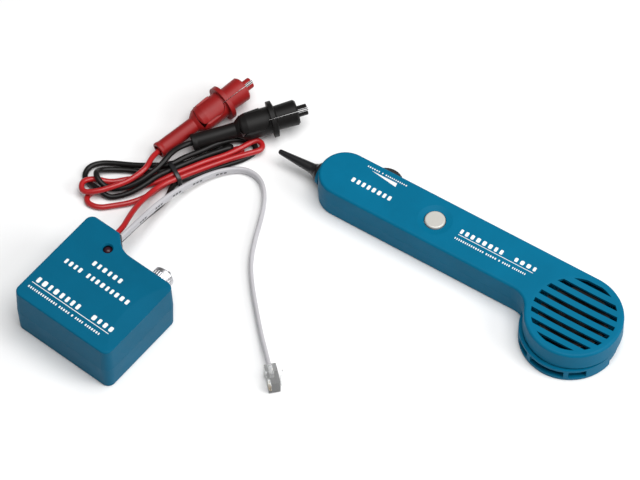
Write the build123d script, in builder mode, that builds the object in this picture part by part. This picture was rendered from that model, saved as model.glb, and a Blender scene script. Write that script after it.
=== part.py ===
from build123d import *
import math
import os

# Tone probe kit: a square tone generator (sender) with clip leads and a line cable, and a hand-held
# probe (receiver) with a thumbwheel, a push button and a loudspeaker head. Millimetres, +Z up, the
# origin on the surface both instruments lie on, at the middle of the box round the two cases.

os.makedirs("parts", exist_ok=True)

# ---------------------------------------------------------------- driving dimensions
FIT_GAP = 0.3
RUNNING_GAP = 0.05
WALL = 1.8

SENDER_WIDTH = 66.8
SENDER_DEPTH = 65.6
SENDER_HEIGHT = 33.5
SENDER_PARTING = 16.5
SENDER_CORNER = 5.0
SENDER_DRAFT = 2.0
NOTCH_DEPTH = 8.2
NOTCH_START = 21.2
NOTCH_END = 29.7
NOTCH_FILLET = 14.0
SENDER_TURN = -5.9
SENDER_CORNER_POINT = (-143.3, -89.8, 0)

RECEIVER_THICKNESS = 22.0
RECEIVER_PARTING = 10.5
RECEIVER_DRAFT = 1.5
HEAD_RADIUS = 27.3
HEAD_STEP = 1.4
HANDLE_WIDTH = 30.4
HANDLE_END = -167.5
HANDLE_CORNER = 15.1
PROBE_TIP_LENGTH = 29.6
TIP_SEAT_DEPTH = 1.2
NECK_RADIUS = 13.0
HEAD_CENTRE = (114.2, 66.0, 0)
HANDLE_CENTRE = HEAD_RADIUS - HANDLE_WIDTH / 2

BATTERY_LENGTH = 45.5
BATTERY_WIDTH = 26.2
BATTERY_THICKNESS = 17.2
BOARD_THICKNESS = 1.6

SWITCH_AXIS = (52.9, 22.5)
DRESS_NUT_RADIUS = 6.2
DRESS_NUT_LENGTH = 7.2
LEVER_THROW = 13.0

BUTTON_PLACE = -94.6
BUTTON_RADIUS = 5.75
BUTTON_DISH_RADIUS = 9.75

WHEEL_PLACE = -131.5
WHEEL_RADIUS = 10.0
WHEEL_STAND_OUT = 2.9
WHEEL_BOTTOM = 16.6
WHEEL_THICKNESS = 3.2
WHEEL_CENTRE = HEAD_RADIUS + WHEEL_STAND_OUT - WHEEL_RADIUS

GRILLE_RADIUS = 24.0
GRILLE_SLOTS = 8
GRILLE_PITCH = 6.1
SLOT_WIDTH = 2.7
SPEAKER_RADIUS = 19.2

LEAD_DIAMETER = 3.2
LINE_CABLE_HEIGHT = 5.0
LINE_CABLE_THICKNESS = 2.3
HANK_HEIGHT = 8.0
RIGHT_HANK_HEIGHT = 5.0

CLIP_TUBE_RADIUS = 4.4
CLIP_BORE_RADIUS = 2.0
CLIP_MOUTH_RADIUS = 3.4
CLIP_BODY_RADIUS = 7.8
CLIP_SKIRT_INNER = 6.2
CLIP_HUB_RADIUS = 4.4
CLIP_NUB_RADIUS = 3.2
CLIP_LEVER_REACH = 12.4
CLIP_NUB_GAP = 0.95
CLIP_GUARD_RADIUS = 10.4
CLIP_PIN_PLACE = 40.0
CLIP_NOSE_END = 61.5
CLIP_JAW_END = 67.5
CLIP_OPENING = 20.0

PLUG_LENGTH = 12.6
PLUG_WIDTH = 9.65
PLUG_HEIGHT = 6.6

# ---------------------------------------------------------------- frames of the assemblies
SENDER = Plane(Location(SENDER_CORNER_POINT, (0, 0, SENDER_TURN)))
RECEIVER = Plane(Location(HEAD_CENTRE))
TIP_PLACE = HANDLE_END + TIP_SEAT_DEPTH - RUNNING_GAP
PROBE = Plane(Location(HEAD_CENTRE) * Location((TIP_PLACE, HANDLE_CENTRE, 10.0)))
LINE_PLUG = Plane(Location((-10.4, -41.5, PLUG_WIDTH / 2), (0, 0, -45)) * Location((0, 0, 0), (90, 0, 0)))


def clip_frame(tail, heading, rise, roll):
    """A clip's frame: origin at its tail, X towards the jaws, +Z out through the thumb lever."""
    lying = Location(tail, (0, 0, heading)) * Location((0, 0, 0), (0, -rise, 0))
    return Plane(lying * Location((0, 0, 0), (roll, 0, 0)))


RED_CLIP = clip_frame((-139.9, 44.1, 6.6), 72.8, 5.0, -60)
BLACK_CLIP = clip_frame((-126.9, 58.3, 7.6), 48.6, 5.5, -55)

# ---------------------------------------------------------------- routes of the leads
RED_LEAD_ROUTE = [
    (-122.2, -26.0, 21.5),
    (-121.3, -17.8, 21.0),
    (-123.9, -8.7, 17.5),
    (-126.9, 3.3, 12.0),
    (-127.3, 15.3, 8.0),
    (-126.1, 26.3, 6.0),
]
BLACK_LEAD_ROUTE = [
    (-120.0, -26.3, 17.0),
    (-119.1, -17.8, 16.5),
    (-119.6, -7.7, 13.0),
    (-119.7, 4.3, 8.5),
    (-119.0, 14.7, 5.2),
    (-120.2, 23.3, 4.2),
    (-123.5, 29.9, 4.0),
]
RED_CLIP_ROUTE = [
    (-137.5, 51.7, 7.3),
    (-139.9, 44.1, 6.6),
    (-140.3, 37.1, 8.2),
    (-138.7, 30.1, 8.8),
    (-140.3, 22.7, 6.0),
]
BLACK_CLIP_ROUTE = [
    (-121.6, 64.3, 8.4),
    (-126.9, 58.3, 7.6),
    (-130.3, 52.1, 8.6),
    (-131.7, 45.3, 10.0),
    (-131.9, 38.5, 9.6),
    (-132.9, 31.5, 6.0),
]
LINE_CABLE_ROUTE = [
    (-118.0, -27.9, 23.0),
    (-117.1, -18.7, 22.0),
    (-117.3, -3.7, 17.5),
    (-117.1, 12.3, 12.5),
    (-114.5, 27.9, 8.2),
    (-110.3, 41.9, 5.0),
    (-103.3, 53.9, 3.4),
    (-94.3, 61.5, 2.7),
    (-84.5, 61.5, 2.7),
    (-76.9, 55.7, 2.7),
    (-71.5, 46.9, 2.7),
    (-67.5, 36.7, 2.7),
    (-63.3, 24.7, 2.7),
    (-57.5, 11.7, 2.7),
    (-48.3, -0.9, 2.7),
    (-37.9, -12.7, 2.7),
    (-27.3, -24.3, 2.7),
    (-18.5, -33.3, 3.7),
    (-9.3, -42.6, 4.8),
]


def save(piece, label, frame=Plane.XY):
    """Stand a finished piece in its frame, label it and write its STEP file."""
    piece.part = frame.location * piece.part
    piece.part.label = label
    export_step(piece.part, f"parts/{label}.step")


def bored_disc(radius, bore, height):
    """A short round piece with a hole through it, standing on its frame."""
    with BuildPart() as disc:
        Cylinder(radius, height, align=(Align.CENTER, Align.CENTER, Align.MIN))
        Cylinder(bore, height, align=(Align.CENTER, Align.CENTER, Align.MIN), mode=Mode.SUBTRACT)
    return disc


# ================================================================ SENDER
def sender_outline(inset=0.0):
    """Plan of the sender's case: a rounded square whose far side steps in for the switch."""
    with BuildSketch() as outline:
        with BuildLine():
            Polyline(
                (0, 0),
                (SENDER_WIDTH, 0),
                (SENDER_WIDTH, SENDER_DEPTH - NOTCH_DEPTH),
                (NOTCH_END, SENDER_DEPTH - NOTCH_DEPTH),
                (NOTCH_START, SENDER_DEPTH),
                (0, SENDER_DEPTH),
                close=True,
            )
        make_face()
        corners = outline.vertices().sort_by(Axis.Y)
        fillet([v for v in corners if v.X < 1 or v.X > SENDER_WIDTH - 1], SENDER_CORNER)
        fillet([v for v in outline.vertices() if abs(v.X - NOTCH_END) < 0.01], NOTCH_FILLET)
        fillet([v for v in outline.vertices() if abs(v.X - NOTCH_START) < 0.01], 2.0)
        if inset:
            offset(amount=-inset, kind=Kind.ARC)
    return outline.sketch


SENDER_SCREWS = [(7.0, 7.0), (59.4, 7.0), (7.0, 57.6), (61.0, 38.4)]
SENDER_BOSS_RADIUS = 3.2
SCREW_RADIUS = 1.3
SCREW_HEAD_RADIUS = 2.1
GROMMET_CENTRE = 16.1
GROMMET_WIDTH = 8.4
GROMMET_BOTTOM = 13.6
GROMMET_TOP = 27.4
FACET_CREASE_RADIUS = 42.8
FACET_CENTRE = (98.7, 28.6)
FACET_SLOPE = 5.0
LED_PLACE = (22.5, 53.1)
LED_RADIUS = 2.5
SENDER_BATTERY_CORNER = (8.5, 13.5)
SENDER_BOARD_HEIGHT = 22.6

with BuildPart() as sender_upper_case:
    upper_height = SENDER_HEIGHT - SENDER_PARTING
    extrude(
        Plane.XY.offset(SENDER_PARTING).location * sender_outline(),
        amount=upper_height,
        taper=SENDER_DRAFT,
    )
    fillet(sender_upper_case.faces().sort_by(Axis.Z)[-1].edges(), 1.0)
    extrude(
        Plane.XY.offset(SENDER_PARTING).location * sender_outline(WALL),
        amount=upper_height - WALL,
        taper=SENDER_DRAFT,
        mode=Mode.SUBTRACT,
    )
    # shallow crescent facet falling away to the right-hand side
    facet_depth = 12.0 * math.tan(math.radians(FACET_SLOPE))
    with Locations((*FACET_CENTRE, SENDER_HEIGHT - facet_depth)):
        Cone(
            FACET_CREASE_RADIUS - 12.0,
            FACET_CREASE_RADIUS + 12.0,
            2 * facet_depth,
            align=(Align.CENTER, Align.CENTER, Align.MIN),
            mode=Mode.SUBTRACT,
        )
    # screw bosses and the two posts that hold the board down
    with BuildSketch(Plane.XY.offset(SENDER_PARTING)):
        with Locations(*SENDER_SCREWS):
            Circle(SENDER_BOSS_RADIUS)
    extrude(until=Until.NEXT)
    with BuildSketch(Plane.XY.offset(SENDER_BOARD_HEIGHT + BOARD_THICKNESS)):
        with Locations((14.5, 16.0), (38.0, 16.0)):
            Circle(2.2)
    extrude(until=Until.NEXT)
    with BuildSketch(Plane.XY.offset(SENDER_PARTING)):
        with Locations(*SENDER_SCREWS):
            Circle(SCREW_RADIUS)
    extrude(amount=8.2, mode=Mode.SUBTRACT)
    # LED hole with a small raised eye
    with Locations((*LED_PLACE, SENDER_HEIGHT)):
        Hole(LED_RADIUS + 0.15, depth=4)
        Cone(
            LED_RADIUS + 0.15,
            LED_RADIUS + 0.75,
            0.9,
            align=(Align.CENTER, Align.CENTER, Align.MAX),
            mode=Mode.SUBTRACT,
        )
    # switch hole in the recessed wall
    with BuildSketch(Plane(origin=(SWITCH_AXIS[0], SENDER_DEPTH, SWITCH_AXIS[1]), z_dir=(0, -1, 0))):
        Circle(3.2)
    extrude(amount=12, mode=Mode.SUBTRACT)
    # opening for the cable grommet
    with Locations((GROMMET_CENTRE, SENDER_DEPTH, SENDER_PARTING)):
        Box(
            GROMMET_WIDTH - 1.6,
            8,
            GROMMET_TOP - SENDER_PARTING - 0.8,
            align=(Align.CENTER, Align.CENTER, Align.MIN),
            mode=Mode.SUBTRACT,
        )
save(sender_upper_case, "sender_upper_case", SENDER)

DOOR_CORNER = (5.5, 12.5)
DOOR_SIZE = (50.5, 28.0)
DOOR_LEDGE = 1.6

with BuildPart() as sender_lower_case:
    extrude(
        Plane.XY.offset(SENDER_PARTING - 0.05).location * sender_outline(),
        amount=SENDER_PARTING - 0.05,
        dir=(0, 0, -1),
        taper=SENDER_DRAFT,
    )
    fillet(sender_lower_case.faces().sort_by(Axis.Z)[0].edges(), 0.8)
    extrude(
        Plane.XY.offset(SENDER_PARTING - 0.05).location * sender_outline(WALL),
        amount=SENDER_PARTING - 0.05 - WALL,
        dir=(0, 0, -1),
        taper=SENDER_DRAFT,
        mode=Mode.SUBTRACT,
    )
    with BuildSketch(Plane.XY.offset(WALL)):
        with Locations(*SENDER_SCREWS):
            Circle(SENDER_BOSS_RADIUS)
    extrude(amount=SENDER_PARTING - 0.05 - WALL)
    for place in SENDER_SCREWS:
        with Locations((*place, 0)):
            Cylinder(SCREW_RADIUS + 0.15, 40, mode=Mode.SUBTRACT)
            Cylinder(
                SCREW_HEAD_RADIUS + 0.2,
                4.0,
                align=(Align.CENTER, Align.CENTER, Align.MIN),
                mode=Mode.SUBTRACT,
            )
    # battery door opening, with a ledge for the door to sit on
    with Locations((DOOR_CORNER[0], DOOR_CORNER[1], 0)):
        Box(*DOOR_SIZE, 1.0, align=Align.MIN, mode=Mode.SUBTRACT)
    with Locations((DOOR_CORNER[0] + DOOR_LEDGE, DOOR_CORNER[1] + DOOR_LEDGE / 2, 0)):
        Box(DOOR_SIZE[0] - 2 * DOOR_LEDGE, DOOR_SIZE[1] - DOOR_LEDGE, 4, align=Align.MIN, mode=Mode.SUBTRACT)
    with Locations((GROMMET_CENTRE, SENDER_DEPTH, SENDER_PARTING)):
        Box(
            GROMMET_WIDTH - 1.6,
            8,
            SENDER_PARTING - GROMMET_BOTTOM - 0.8,
            align=(Align.CENTER, Align.CENTER, Align.MAX),
            mode=Mode.SUBTRACT,
        )
save(sender_lower_case, "sender_lower_case", SENDER)

with BuildPart() as sender_battery_door:
    with Locations((DOOR_CORNER[0] + 0.2, DOOR_CORNER[1] + 0.2, 0)):
        Box(DOOR_SIZE[0] - 0.4, DOOR_SIZE[1] - 0.4, 0.95, align=Align.MIN)
    with Locations((DOOR_CORNER[0] + DOOR_LEDGE + 0.2, DOOR_CORNER[1] + DOOR_LEDGE / 2 + 0.2, 0.95)):
        Box(DOOR_SIZE[0] - 2 * DOOR_LEDGE - 0.4, DOOR_SIZE[1] - DOOR_LEDGE - 0.4, 0.85, align=Align.MIN)
    # finger grip: five shallow grooves across one end
    with Locations((DOOR_CORNER[0] + DOOR_SIZE[0] - 9, DOOR_CORNER[1] + DOOR_SIZE[1] / 2, 0)):
        with GridLocations(1.8, 0, 5, 1):
            Box(0.8, 14, 0.6, mode=Mode.SUBTRACT)
save(sender_battery_door, "sender_battery_door", SENDER)


def block_battery():
    """A 9 V block battery, its length along X, with the two snap terminals on its low-X end."""
    with BuildPart() as battery:
        Box(BATTERY_LENGTH, BATTERY_WIDTH, BATTERY_THICKNESS, align=(Align.MIN, Align.CENTER, Align.MIN))
        fillet(battery.edges().filter_by(Axis.X), 2.0)
        with BuildSketch(Plane(origin=(0, 0, BATTERY_THICKNESS / 2), z_dir=(-1, 0, 0))):
            with GridLocations(0, 12.95, 1, 2):
                Circle(3.0)
        extrude(amount=2.0)
    return battery


def battery_snap():
    """The snap cap that presses on the block battery's terminals."""
    with BuildPart() as snap:
        with Locations((-1.0, 0, BATTERY_THICKNESS / 2)):
            Box(3.8, 25.0, 12.0, align=(Align.MAX, Align.CENTER, Align.CENTER))
        fillet(snap.edges().filter_by(Axis.X), 2.0)
        with BuildSketch(Plane(origin=(-0.9, 0, BATTERY_THICKNESS / 2), z_dir=(-1, 0, 0))):
            with GridLocations(0, 12.95, 1, 2):
                Circle(3.05)
        extrude(amount=1.4, mode=Mode.SUBTRACT)
    return snap


sender_battery_frame = Plane(
    SENDER.location
    * Location((SENDER_BATTERY_CORNER[0] + 1.8, SENDER_BATTERY_CORNER[1] + BATTERY_WIDTH / 2, 4.4))
)
sender_battery = block_battery()
save(sender_battery, "sender_battery", sender_battery_frame)
sender_battery_snap = battery_snap()
save(sender_battery_snap, "sender_battery_snap", sender_battery_frame)

with BuildPart() as sender_battery_pad:
    with Locations((SENDER_BATTERY_CORNER[0] + 8, SENDER_BATTERY_CORNER[1] + 3, 1.85)):
        Box(38, 20, 2.5, align=Align.MIN)
save(sender_battery_pad, "sender_battery_pad", SENDER)

SENDER_BOARD_CORNER = (10.8, 10.6)
SENDER_BOARD_SIZE = (31.4, 42.6)

with BuildPart() as sender_circuit_board:
    with Locations((*SENDER_BOARD_CORNER, SENDER_BOARD_HEIGHT)):
        Box(*SENDER_BOARD_SIZE, BOARD_THICKNESS, align=Align.MIN)
save(sender_circuit_board, "sender_circuit_board", SENDER)

board_top = SENDER_BOARD_HEIGHT + BOARD_THICKNESS
with BuildPart() as sender_board_components:
    # two dual in-line chips, three round capacitors and a coupling transformer
    with Locations((20.0, 30.0, board_top), (33.0, 30.0, board_top)):
        Box(6.4, 9.6, 3.3, align=(Align.CENTER, Align.CENTER, Align.MIN))
    with Locations((20.5, 20.5, board_top), (28.0, 40.5, board_top), (37.5, 40.5, board_top)):
        Cylinder(2.5, 5.0, align=(Align.CENTER, Align.CENTER, Align.MIN))
    with Locations((31.0, 47.6, board_top)):
        Box(9.0, 8.0, 5.8, align=(Align.CENTER, Align.CENTER, Align.MIN))
save(sender_board_components, "sender_board_components", SENDER)

with BuildPart() as sender_status_led:
    with BuildSketch(Plane.XZ) as led_profile:
        with BuildLine():
            Polyline(
                (0, 0),
                (LED_RADIUS + 0.4, 0),
                (LED_RADIUS + 0.4, 1.0),
                (LED_RADIUS, 1.0),
                (LED_RADIUS, 8.6),
                (0, 8.6),
                close=True,
            )
        make_face()
    revolve(axis=Axis.Z)
    fillet(sender_status_led.faces().sort_by(Axis.Z)[-1].edges(), 2.2)
save(sender_status_led, "sender_status_led", Plane(SENDER.location * Location((*LED_PLACE, board_top))))


def pan_screw(length, head_height=1.6):
    """A pan-head screw standing head down, with a cross recess."""
    with BuildPart() as screw:
        Cylinder(SCREW_HEAD_RADIUS, head_height, align=(Align.CENTER, Align.CENTER, Align.MIN))
        chamfer(screw.faces().sort_by(Axis.Z)[0].edges(), 0.4)
        with Locations((0, 0, head_height)):
            Cylinder(SCREW_RADIUS - 0.05, length, align=(Align.CENTER, Align.CENTER, Align.MIN))
        for turn in (0, 90):
            with Locations(Location((0, 0, 0), (0, 0, turn))):
                Box(3.2, 0.7, 1.6, mode=Mode.SUBTRACT)
    return screw.part


with BuildPart() as sender_case_screws:
    for place in SENDER_SCREWS:
        add(Location((*place, 2.4)) * pan_screw(18.0))
save(sender_case_screws, "sender_case_screws", SENDER)

# ---------------------------------------------------------------- mode switch
SWITCH_WALL = SENDER_DEPTH - NOTCH_DEPTH
SWITCH_FLANGE = -WALL - 0.5
SWITCH_FRAME = Plane(
    SENDER.location
    * Location((SWITCH_AXIS[0], SWITCH_WALL, SWITCH_AXIS[1]))
    * Location((0, 0, 0), (-90, 0, 0))
)
LEVER_PIVOT = 1.6

with BuildPart() as switch_body:
    with Locations((0, 0, SWITCH_FLANGE - 0.6)):
        Box(12.0, 8.0, 9.2, align=(Align.CENTER, Align.CENTER, Align.MAX))
    with Locations((0, 0, SWITCH_FLANGE - 9.8)):
        with GridLocations(4.7, 0, 3, 1):
            Box(0.8, 2.0, 3.6, align=(Align.CENTER, Align.CENTER, Align.MAX))
save(switch_body, "switch_body", SWITCH_FRAME)

with BuildPart() as switch_bushing:
    with BuildSketch(Plane.XZ):
        with BuildLine():
            Polyline(
                (2.2, SWITCH_FLANGE - 0.55),
                (5.2, SWITCH_FLANGE - 0.55),
                (5.2, SWITCH_FLANGE),
                (3.05, SWITCH_FLANGE),
                (3.05, DRESS_NUT_LENGTH + 0.1),
                (2.75, DRESS_NUT_LENGTH + 0.4),
                (2.6, DRESS_NUT_LENGTH + 0.4),
                (2.2, 0.0),
                close=True,
            )
        make_face()
    revolve(axis=Axis.Z)
save(switch_bushing, "switch_bushing", SWITCH_FRAME)

with BuildPart() as switch_dress_nut:
    Cylinder(DRESS_NUT_RADIUS, DRESS_NUT_LENGTH, align=(Align.CENTER, Align.CENTER, Align.MIN))
    chamfer(switch_dress_nut.faces().sort_by(Axis.Z)[-1].edges(), 0.7)
    Cylinder(3.1, 40, mode=Mode.SUBTRACT)
    # two spanner slots across the outer face
    with Locations((0, 0, DRESS_NUT_LENGTH)):
        Box(2 * DRESS_NUT_RADIUS, 1.4, 1.2, mode=Mode.SUBTRACT)
    with PolarLocations(DRESS_NUT_RADIUS, 24):
        Cylinder(0.3, 4.6, align=(Align.CENTER, Align.CENTER, Align.MIN), mode=Mode.SUBTRACT)
save(switch_dress_nut, "switch_dress_nut", SWITCH_FRAME)

with BuildPart() as switch_lever:
    with BuildSketch(Plane.XZ):
        with BuildLine():
            Polyline(
                (0, -2.4),
                (0.7, -2.4),
                (0.8, 0),
                (0.85, 6.3),
                (1.5, 7.8),
                (1.5, 9.0),
                (0, 9.0),
                close=True,
            )
        make_face()
    revolve(axis=Axis.Z)
    fillet(switch_lever.faces().sort_by(Axis.Z)[-1].edges(), 0.6)
switch_lever_frame = Plane(SWITCH_FRAME.location * Location((0, 0, LEVER_PIVOT), (-LEVER_THROW, 0, 0)))
save(switch_lever, "switch_lever", switch_lever_frame)

# ---------------------------------------------------------------- grommet and leads
EXIT_PLACES = {"red": (14.4, 21.5), "black": (16.6, 17.0), "line": (18.9, 23.0)}

with BuildPart() as cable_grommet:
    grommet_height = GROMMET_TOP - GROMMET_BOTTOM
    grommet_middle = (GROMMET_TOP + GROMMET_BOTTOM) / 2
    with Locations((GROMMET_CENTRE, SENDER_DEPTH, grommet_middle)):
        Box(GROMMET_WIDTH - 2.0, 4.2, grommet_height - 2.0, align=(Align.CENTER, Align.MAX, Align.CENTER))
    with Locations((GROMMET_CENTRE, SENDER_DEPTH, grommet_middle)):
        Box(GROMMET_WIDTH, 1.8, grommet_height, align=(Align.CENTER, Align.MIN, Align.CENTER))
    fillet(cable_grommet.faces().sort_by(Axis.Y)[-1].edges(), 0.7)
    with BuildSketch(Plane(origin=(0, SENDER_DEPTH + 2, 0), x_dir=(1, 0, 0), z_dir=(0, -1, 0))):
        with Locations(EXIT_PLACES["red"], EXIT_PLACES["black"]):
            Circle(LEAD_DIAMETER / 2 + 0.02)
        with Locations(EXIT_PLACES["line"]):
            Rectangle(LINE_CABLE_THICKNESS + 0.04, LINE_CABLE_HEIGHT + 0.04)
    extrude(amount=8, mode=Mode.SUBTRACT)
save(cable_grommet, "cable_grommet", SENDER)


def bend_radii(points):
    """The largest radius each corner of a route has room for: 0.45 of its shorter run."""
    radii = []
    for before, corner, after in zip(points, points[1:], points[2:]):
        run_in = Vector(*corner) - Vector(*before)
        run_out = Vector(*after) - Vector(*corner)
        turn = math.radians(run_in.get_angle(run_out))
        radii.append(0.45 * min(run_in.length, run_out.length) / math.tan(turn / 2))
    return radii


def report_lead(route, radii, tube, section):
    """Print a lead's length, its bend radii and its volume against section times length."""
    length = sum(edge.length for edge in route.edges())
    print(f"lead {length:.1f} mm, volume ratio {tube.part.volume / (length * section):.4f}")
    print("  radii", [round(r, 1) for r in radii])


def lead(points, diameter):
    """A round lead along straight runs joined by tangent arcs."""
    radii = bend_radii(points)
    with BuildPart() as tube:
        with BuildLine() as route:
            FilletPolyline(*points, radius=radii)
        with BuildSketch(Plane(origin=route.line @ 0, z_dir=route.line % 0)):
            Circle(diameter / 2)
        sweep(path=route.line)
    report_lead(route, radii, tube, math.pi * diameter**2 / 4)
    return tube


red_lead = lead(RED_LEAD_ROUTE, LEAD_DIAMETER)
save(red_lead, "red_lead")
black_lead = lead(BLACK_LEAD_ROUTE, LEAD_DIAMETER)
save(black_lead, "black_lead")
red_clip_lead = lead(RED_CLIP_ROUTE, LEAD_DIAMETER)
save(red_clip_lead, "red_clip_lead")
black_clip_lead = lead(BLACK_CLIP_ROUTE, LEAD_DIAMETER)
save(black_clip_lead, "black_clip_lead")

with BuildPart() as line_cable:
    line_radii = bend_radii(LINE_CABLE_ROUTE)
    with BuildLine() as line_route:
        FilletPolyline(*LINE_CABLE_ROUTE, radius=line_radii)
    start_direction = line_route.line % 0
    across = start_direction.cross(Vector(0, 0, 1))
    with BuildSketch(Plane(origin=line_route.line @ 0, x_dir=across, z_dir=start_direction)):
        Rectangle(LINE_CABLE_THICKNESS, LINE_CABLE_HEIGHT)
    sweep(path=line_route.line)
report_lead(line_route, line_radii, line_cable, LINE_CABLE_THICKNESS * LINE_CABLE_HEIGHT)
save(line_cable, "line_cable")

# The two clip leads are folded into one flattened hank, tied at its waist.
WAIST = (-125.4, 36.8, 6.4)
LEFT_FOLDS = [(-162.4, 14.8, 6.0), (-151.4, 3.8, 5.6), (-138.9, 8.8, 5.0)]
RIGHT_FOLDS = [(-112.5, 59.1, 5.0), (-98.3, 76.7, 4.6)]
TIE_FRAME = Plane(Location((-125.1, 37.3, 4.05), (0, 0, 58.5)))

with BuildPart() as lead_hank:
    for folds, height in ((RIGHT_FOLDS, RIGHT_HANK_HEIGHT), (LEFT_FOLDS, HANK_HEIGHT)):
        with BuildSketch():
            with BuildSketch(mode=Mode.PRIVATE) as lobe:
                for x, y, radius in [WAIST] + folds:
                    with Locations((x, y)):
                        Circle(radius)
            make_hull(lobe.sketch.edges())
        extrude(amount=height)
        fillet(lead_hank.faces().sort_by(Axis.Z)[-1].edges(), 1.2)
    # the waist, squeezed to the size of the tie
    with BuildSketch(Plane(TIE_FRAME.location * Plane.YZ.offset(-2.2).location)):
        Rectangle(40, 40)
        RectangleRounded(12.4, 5.4, 2.0, mode=Mode.SUBTRACT)
    extrude(amount=4.4, mode=Mode.SUBTRACT)
save(lead_hank, "lead_hank")

with BuildPart() as hank_tie:
    with BuildSketch(Plane.YZ.offset(-1.9)):
        RectangleRounded(14.8, 8.0, 3.0)
        RectangleRounded(12.6, 5.6, 2.0, mode=Mode.SUBTRACT)
    extrude(amount=3.8)
    # the twisted tails of the tie
    with Locations(Location((0, -8.6, -1.2), (0, 0, 20))):
        Box(2.6, 4.2, 2.4)
save(hank_tie, "hank_tie", TIE_FRAME)

# ---------------------------------------------------------------- line plug
with BuildPart() as line_plug_body:
    Box(PLUG_LENGTH, PLUG_WIDTH, PLUG_HEIGHT, align=(Align.MIN, Align.CENTER, Align.CENTER))
    chamfer(line_plug_body.faces().sort_by(Axis.X)[-1].edges(), 0.4)
    # cable pocket, contact slots and the crimp window
    Box(
        5.4,
        LINE_CABLE_HEIGHT + 0.1,
        LINE_CABLE_THICKNESS + 0.1,
        align=(Align.MIN, Align.CENTER, Align.CENTER),
        mode=Mode.SUBTRACT,
    )
    with Locations((PLUG_LENGTH - 4.4, 0, PLUG_HEIGHT / 2)):
        with GridLocations(0, 1.02, 1, 6):
            Box(4.6, 0.46, 3.4, align=(Align.MIN, Align.CENTER, Align.CENTER), mode=Mode.SUBTRACT)
    with Locations((3.6, 0, PLUG_HEIGHT / 2)):
        Box(1.6, 4.6, 1.8, mode=Mode.SUBTRACT)
save(line_plug_body, "line_plug_body", LINE_PLUG)

with BuildPart() as line_plug_contacts:
    with Locations((PLUG_LENGTH - 4.2, 0, PLUG_HEIGHT / 2 - 1.5)):
        with GridLocations(0, 1.02, 1, 4):
            Box(4.0, 0.36, 1.2, align=(Align.MIN, Align.CENTER, Align.MIN))
save(line_plug_contacts, "line_plug_contacts", LINE_PLUG)

LATCH_ROOT = (PLUG_LENGTH - 1.6, -PLUG_HEIGHT / 2)
with BuildPart() as line_plug_latch:
    with BuildSketch(Plane.XZ.offset(1.6)):
        with BuildLine():
            Polyline(
                (LATCH_ROOT[0], LATCH_ROOT[1] - FIT_GAP),
                (LATCH_ROOT[0], LATCH_ROOT[1] - 1.1),
                (2.8, LATCH_ROOT[1] - 3.5),
                (2.2, LATCH_ROOT[1] - 2.7),
                (6.6, LATCH_ROOT[1] - 1.4),
                close=True,
            )
        make_face()
    extrude(amount=-3.2)
save(line_plug_latch, "line_plug_latch", LINE_PLUG)


# ---------------------------------------------------------------- crocodile clips
def clip_shell():
    """Outer and inner surfaces of both insulated halves, turned about the clip's axis."""
    with BuildPart() as shell:
        with BuildSketch(Plane.XZ):
            with BuildLine():
                Polyline(
                    (25.4, 0),
                    (25.4, CLIP_TUBE_RADIUS),
                    (29.0, CLIP_BODY_RADIUS - 0.7),
                    (32.2, CLIP_BODY_RADIUS),
                    (45.6, CLIP_BODY_RADIUS),
                    (45.6, CLIP_GUARD_RADIUS),
                    (48.2, CLIP_GUARD_RADIUS),
                    (49.2, CLIP_BODY_RADIUS - 0.9),
                    (CLIP_NOSE_END - 1.0, CLIP_BODY_RADIUS - 0.5),
                    (CLIP_NOSE_END, CLIP_BODY_RADIUS - 1.4),
                    (CLIP_NOSE_END, 0),
                    close=True,
                )
            make_face()
        revolve(axis=Axis.X)
        with BuildSketch(Plane.XZ):
            with Locations((33.0, 0)):
                Rectangle(CLIP_NOSE_END - 34.4, CLIP_BODY_RADIUS - 1.8, align=(Align.MIN, Align.MIN))
        revolve(axis=Axis.X, mode=Mode.SUBTRACT)
        # slot in the nose for the two jaws
        with Locations((CLIP_NOSE_END, 0, 0)):
            Box(8, 6.3, 3.1, mode=Mode.SUBTRACT)
    return shell.part


def clip_nub(side):
    """The half-round insulated finger over one jaw's tip."""
    with BuildPart() as nub:
        with BuildSketch(Plane.YZ.offset(CLIP_NOSE_END - 1.2)):
            Circle(CLIP_NUB_RADIUS)
            with Locations((0, side * CLIP_NUB_GAP)):
                away = Align.MAX if side > 0 else Align.MIN
                Rectangle(8, 8, align=(Align.CENTER, away), mode=Mode.SUBTRACT)
        extrude(amount=CLIP_JAW_END - CLIP_NOSE_END + 0.9)
        fillet(nub.faces().sort_by(Axis.X)[-1].edges(), 0.5)
    return nub.part


def clip_sector(radius, first, last, thickness, centre=0):
    """A pie slice about the clip's pin, from angle first to angle last, measured from the nose."""
    with BuildPart() as sector:
        with BuildSketch(Plane.XZ.offset(-thickness / 2 - centre)):
            with BuildLine(Location((CLIP_PIN_PLACE, 0))):
                start = (radius * math.cos(math.radians(first)), radius * math.sin(math.radians(first)))
                end = (radius * math.cos(math.radians(last)), radius * math.sin(math.radians(last)))
                Line((0, 0), start)
                CenterArc((0, 0), radius, first, last - first)
                Line(end, (0, 0))
            make_face()
        extrude(amount=thickness)
    return sector.part


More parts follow.
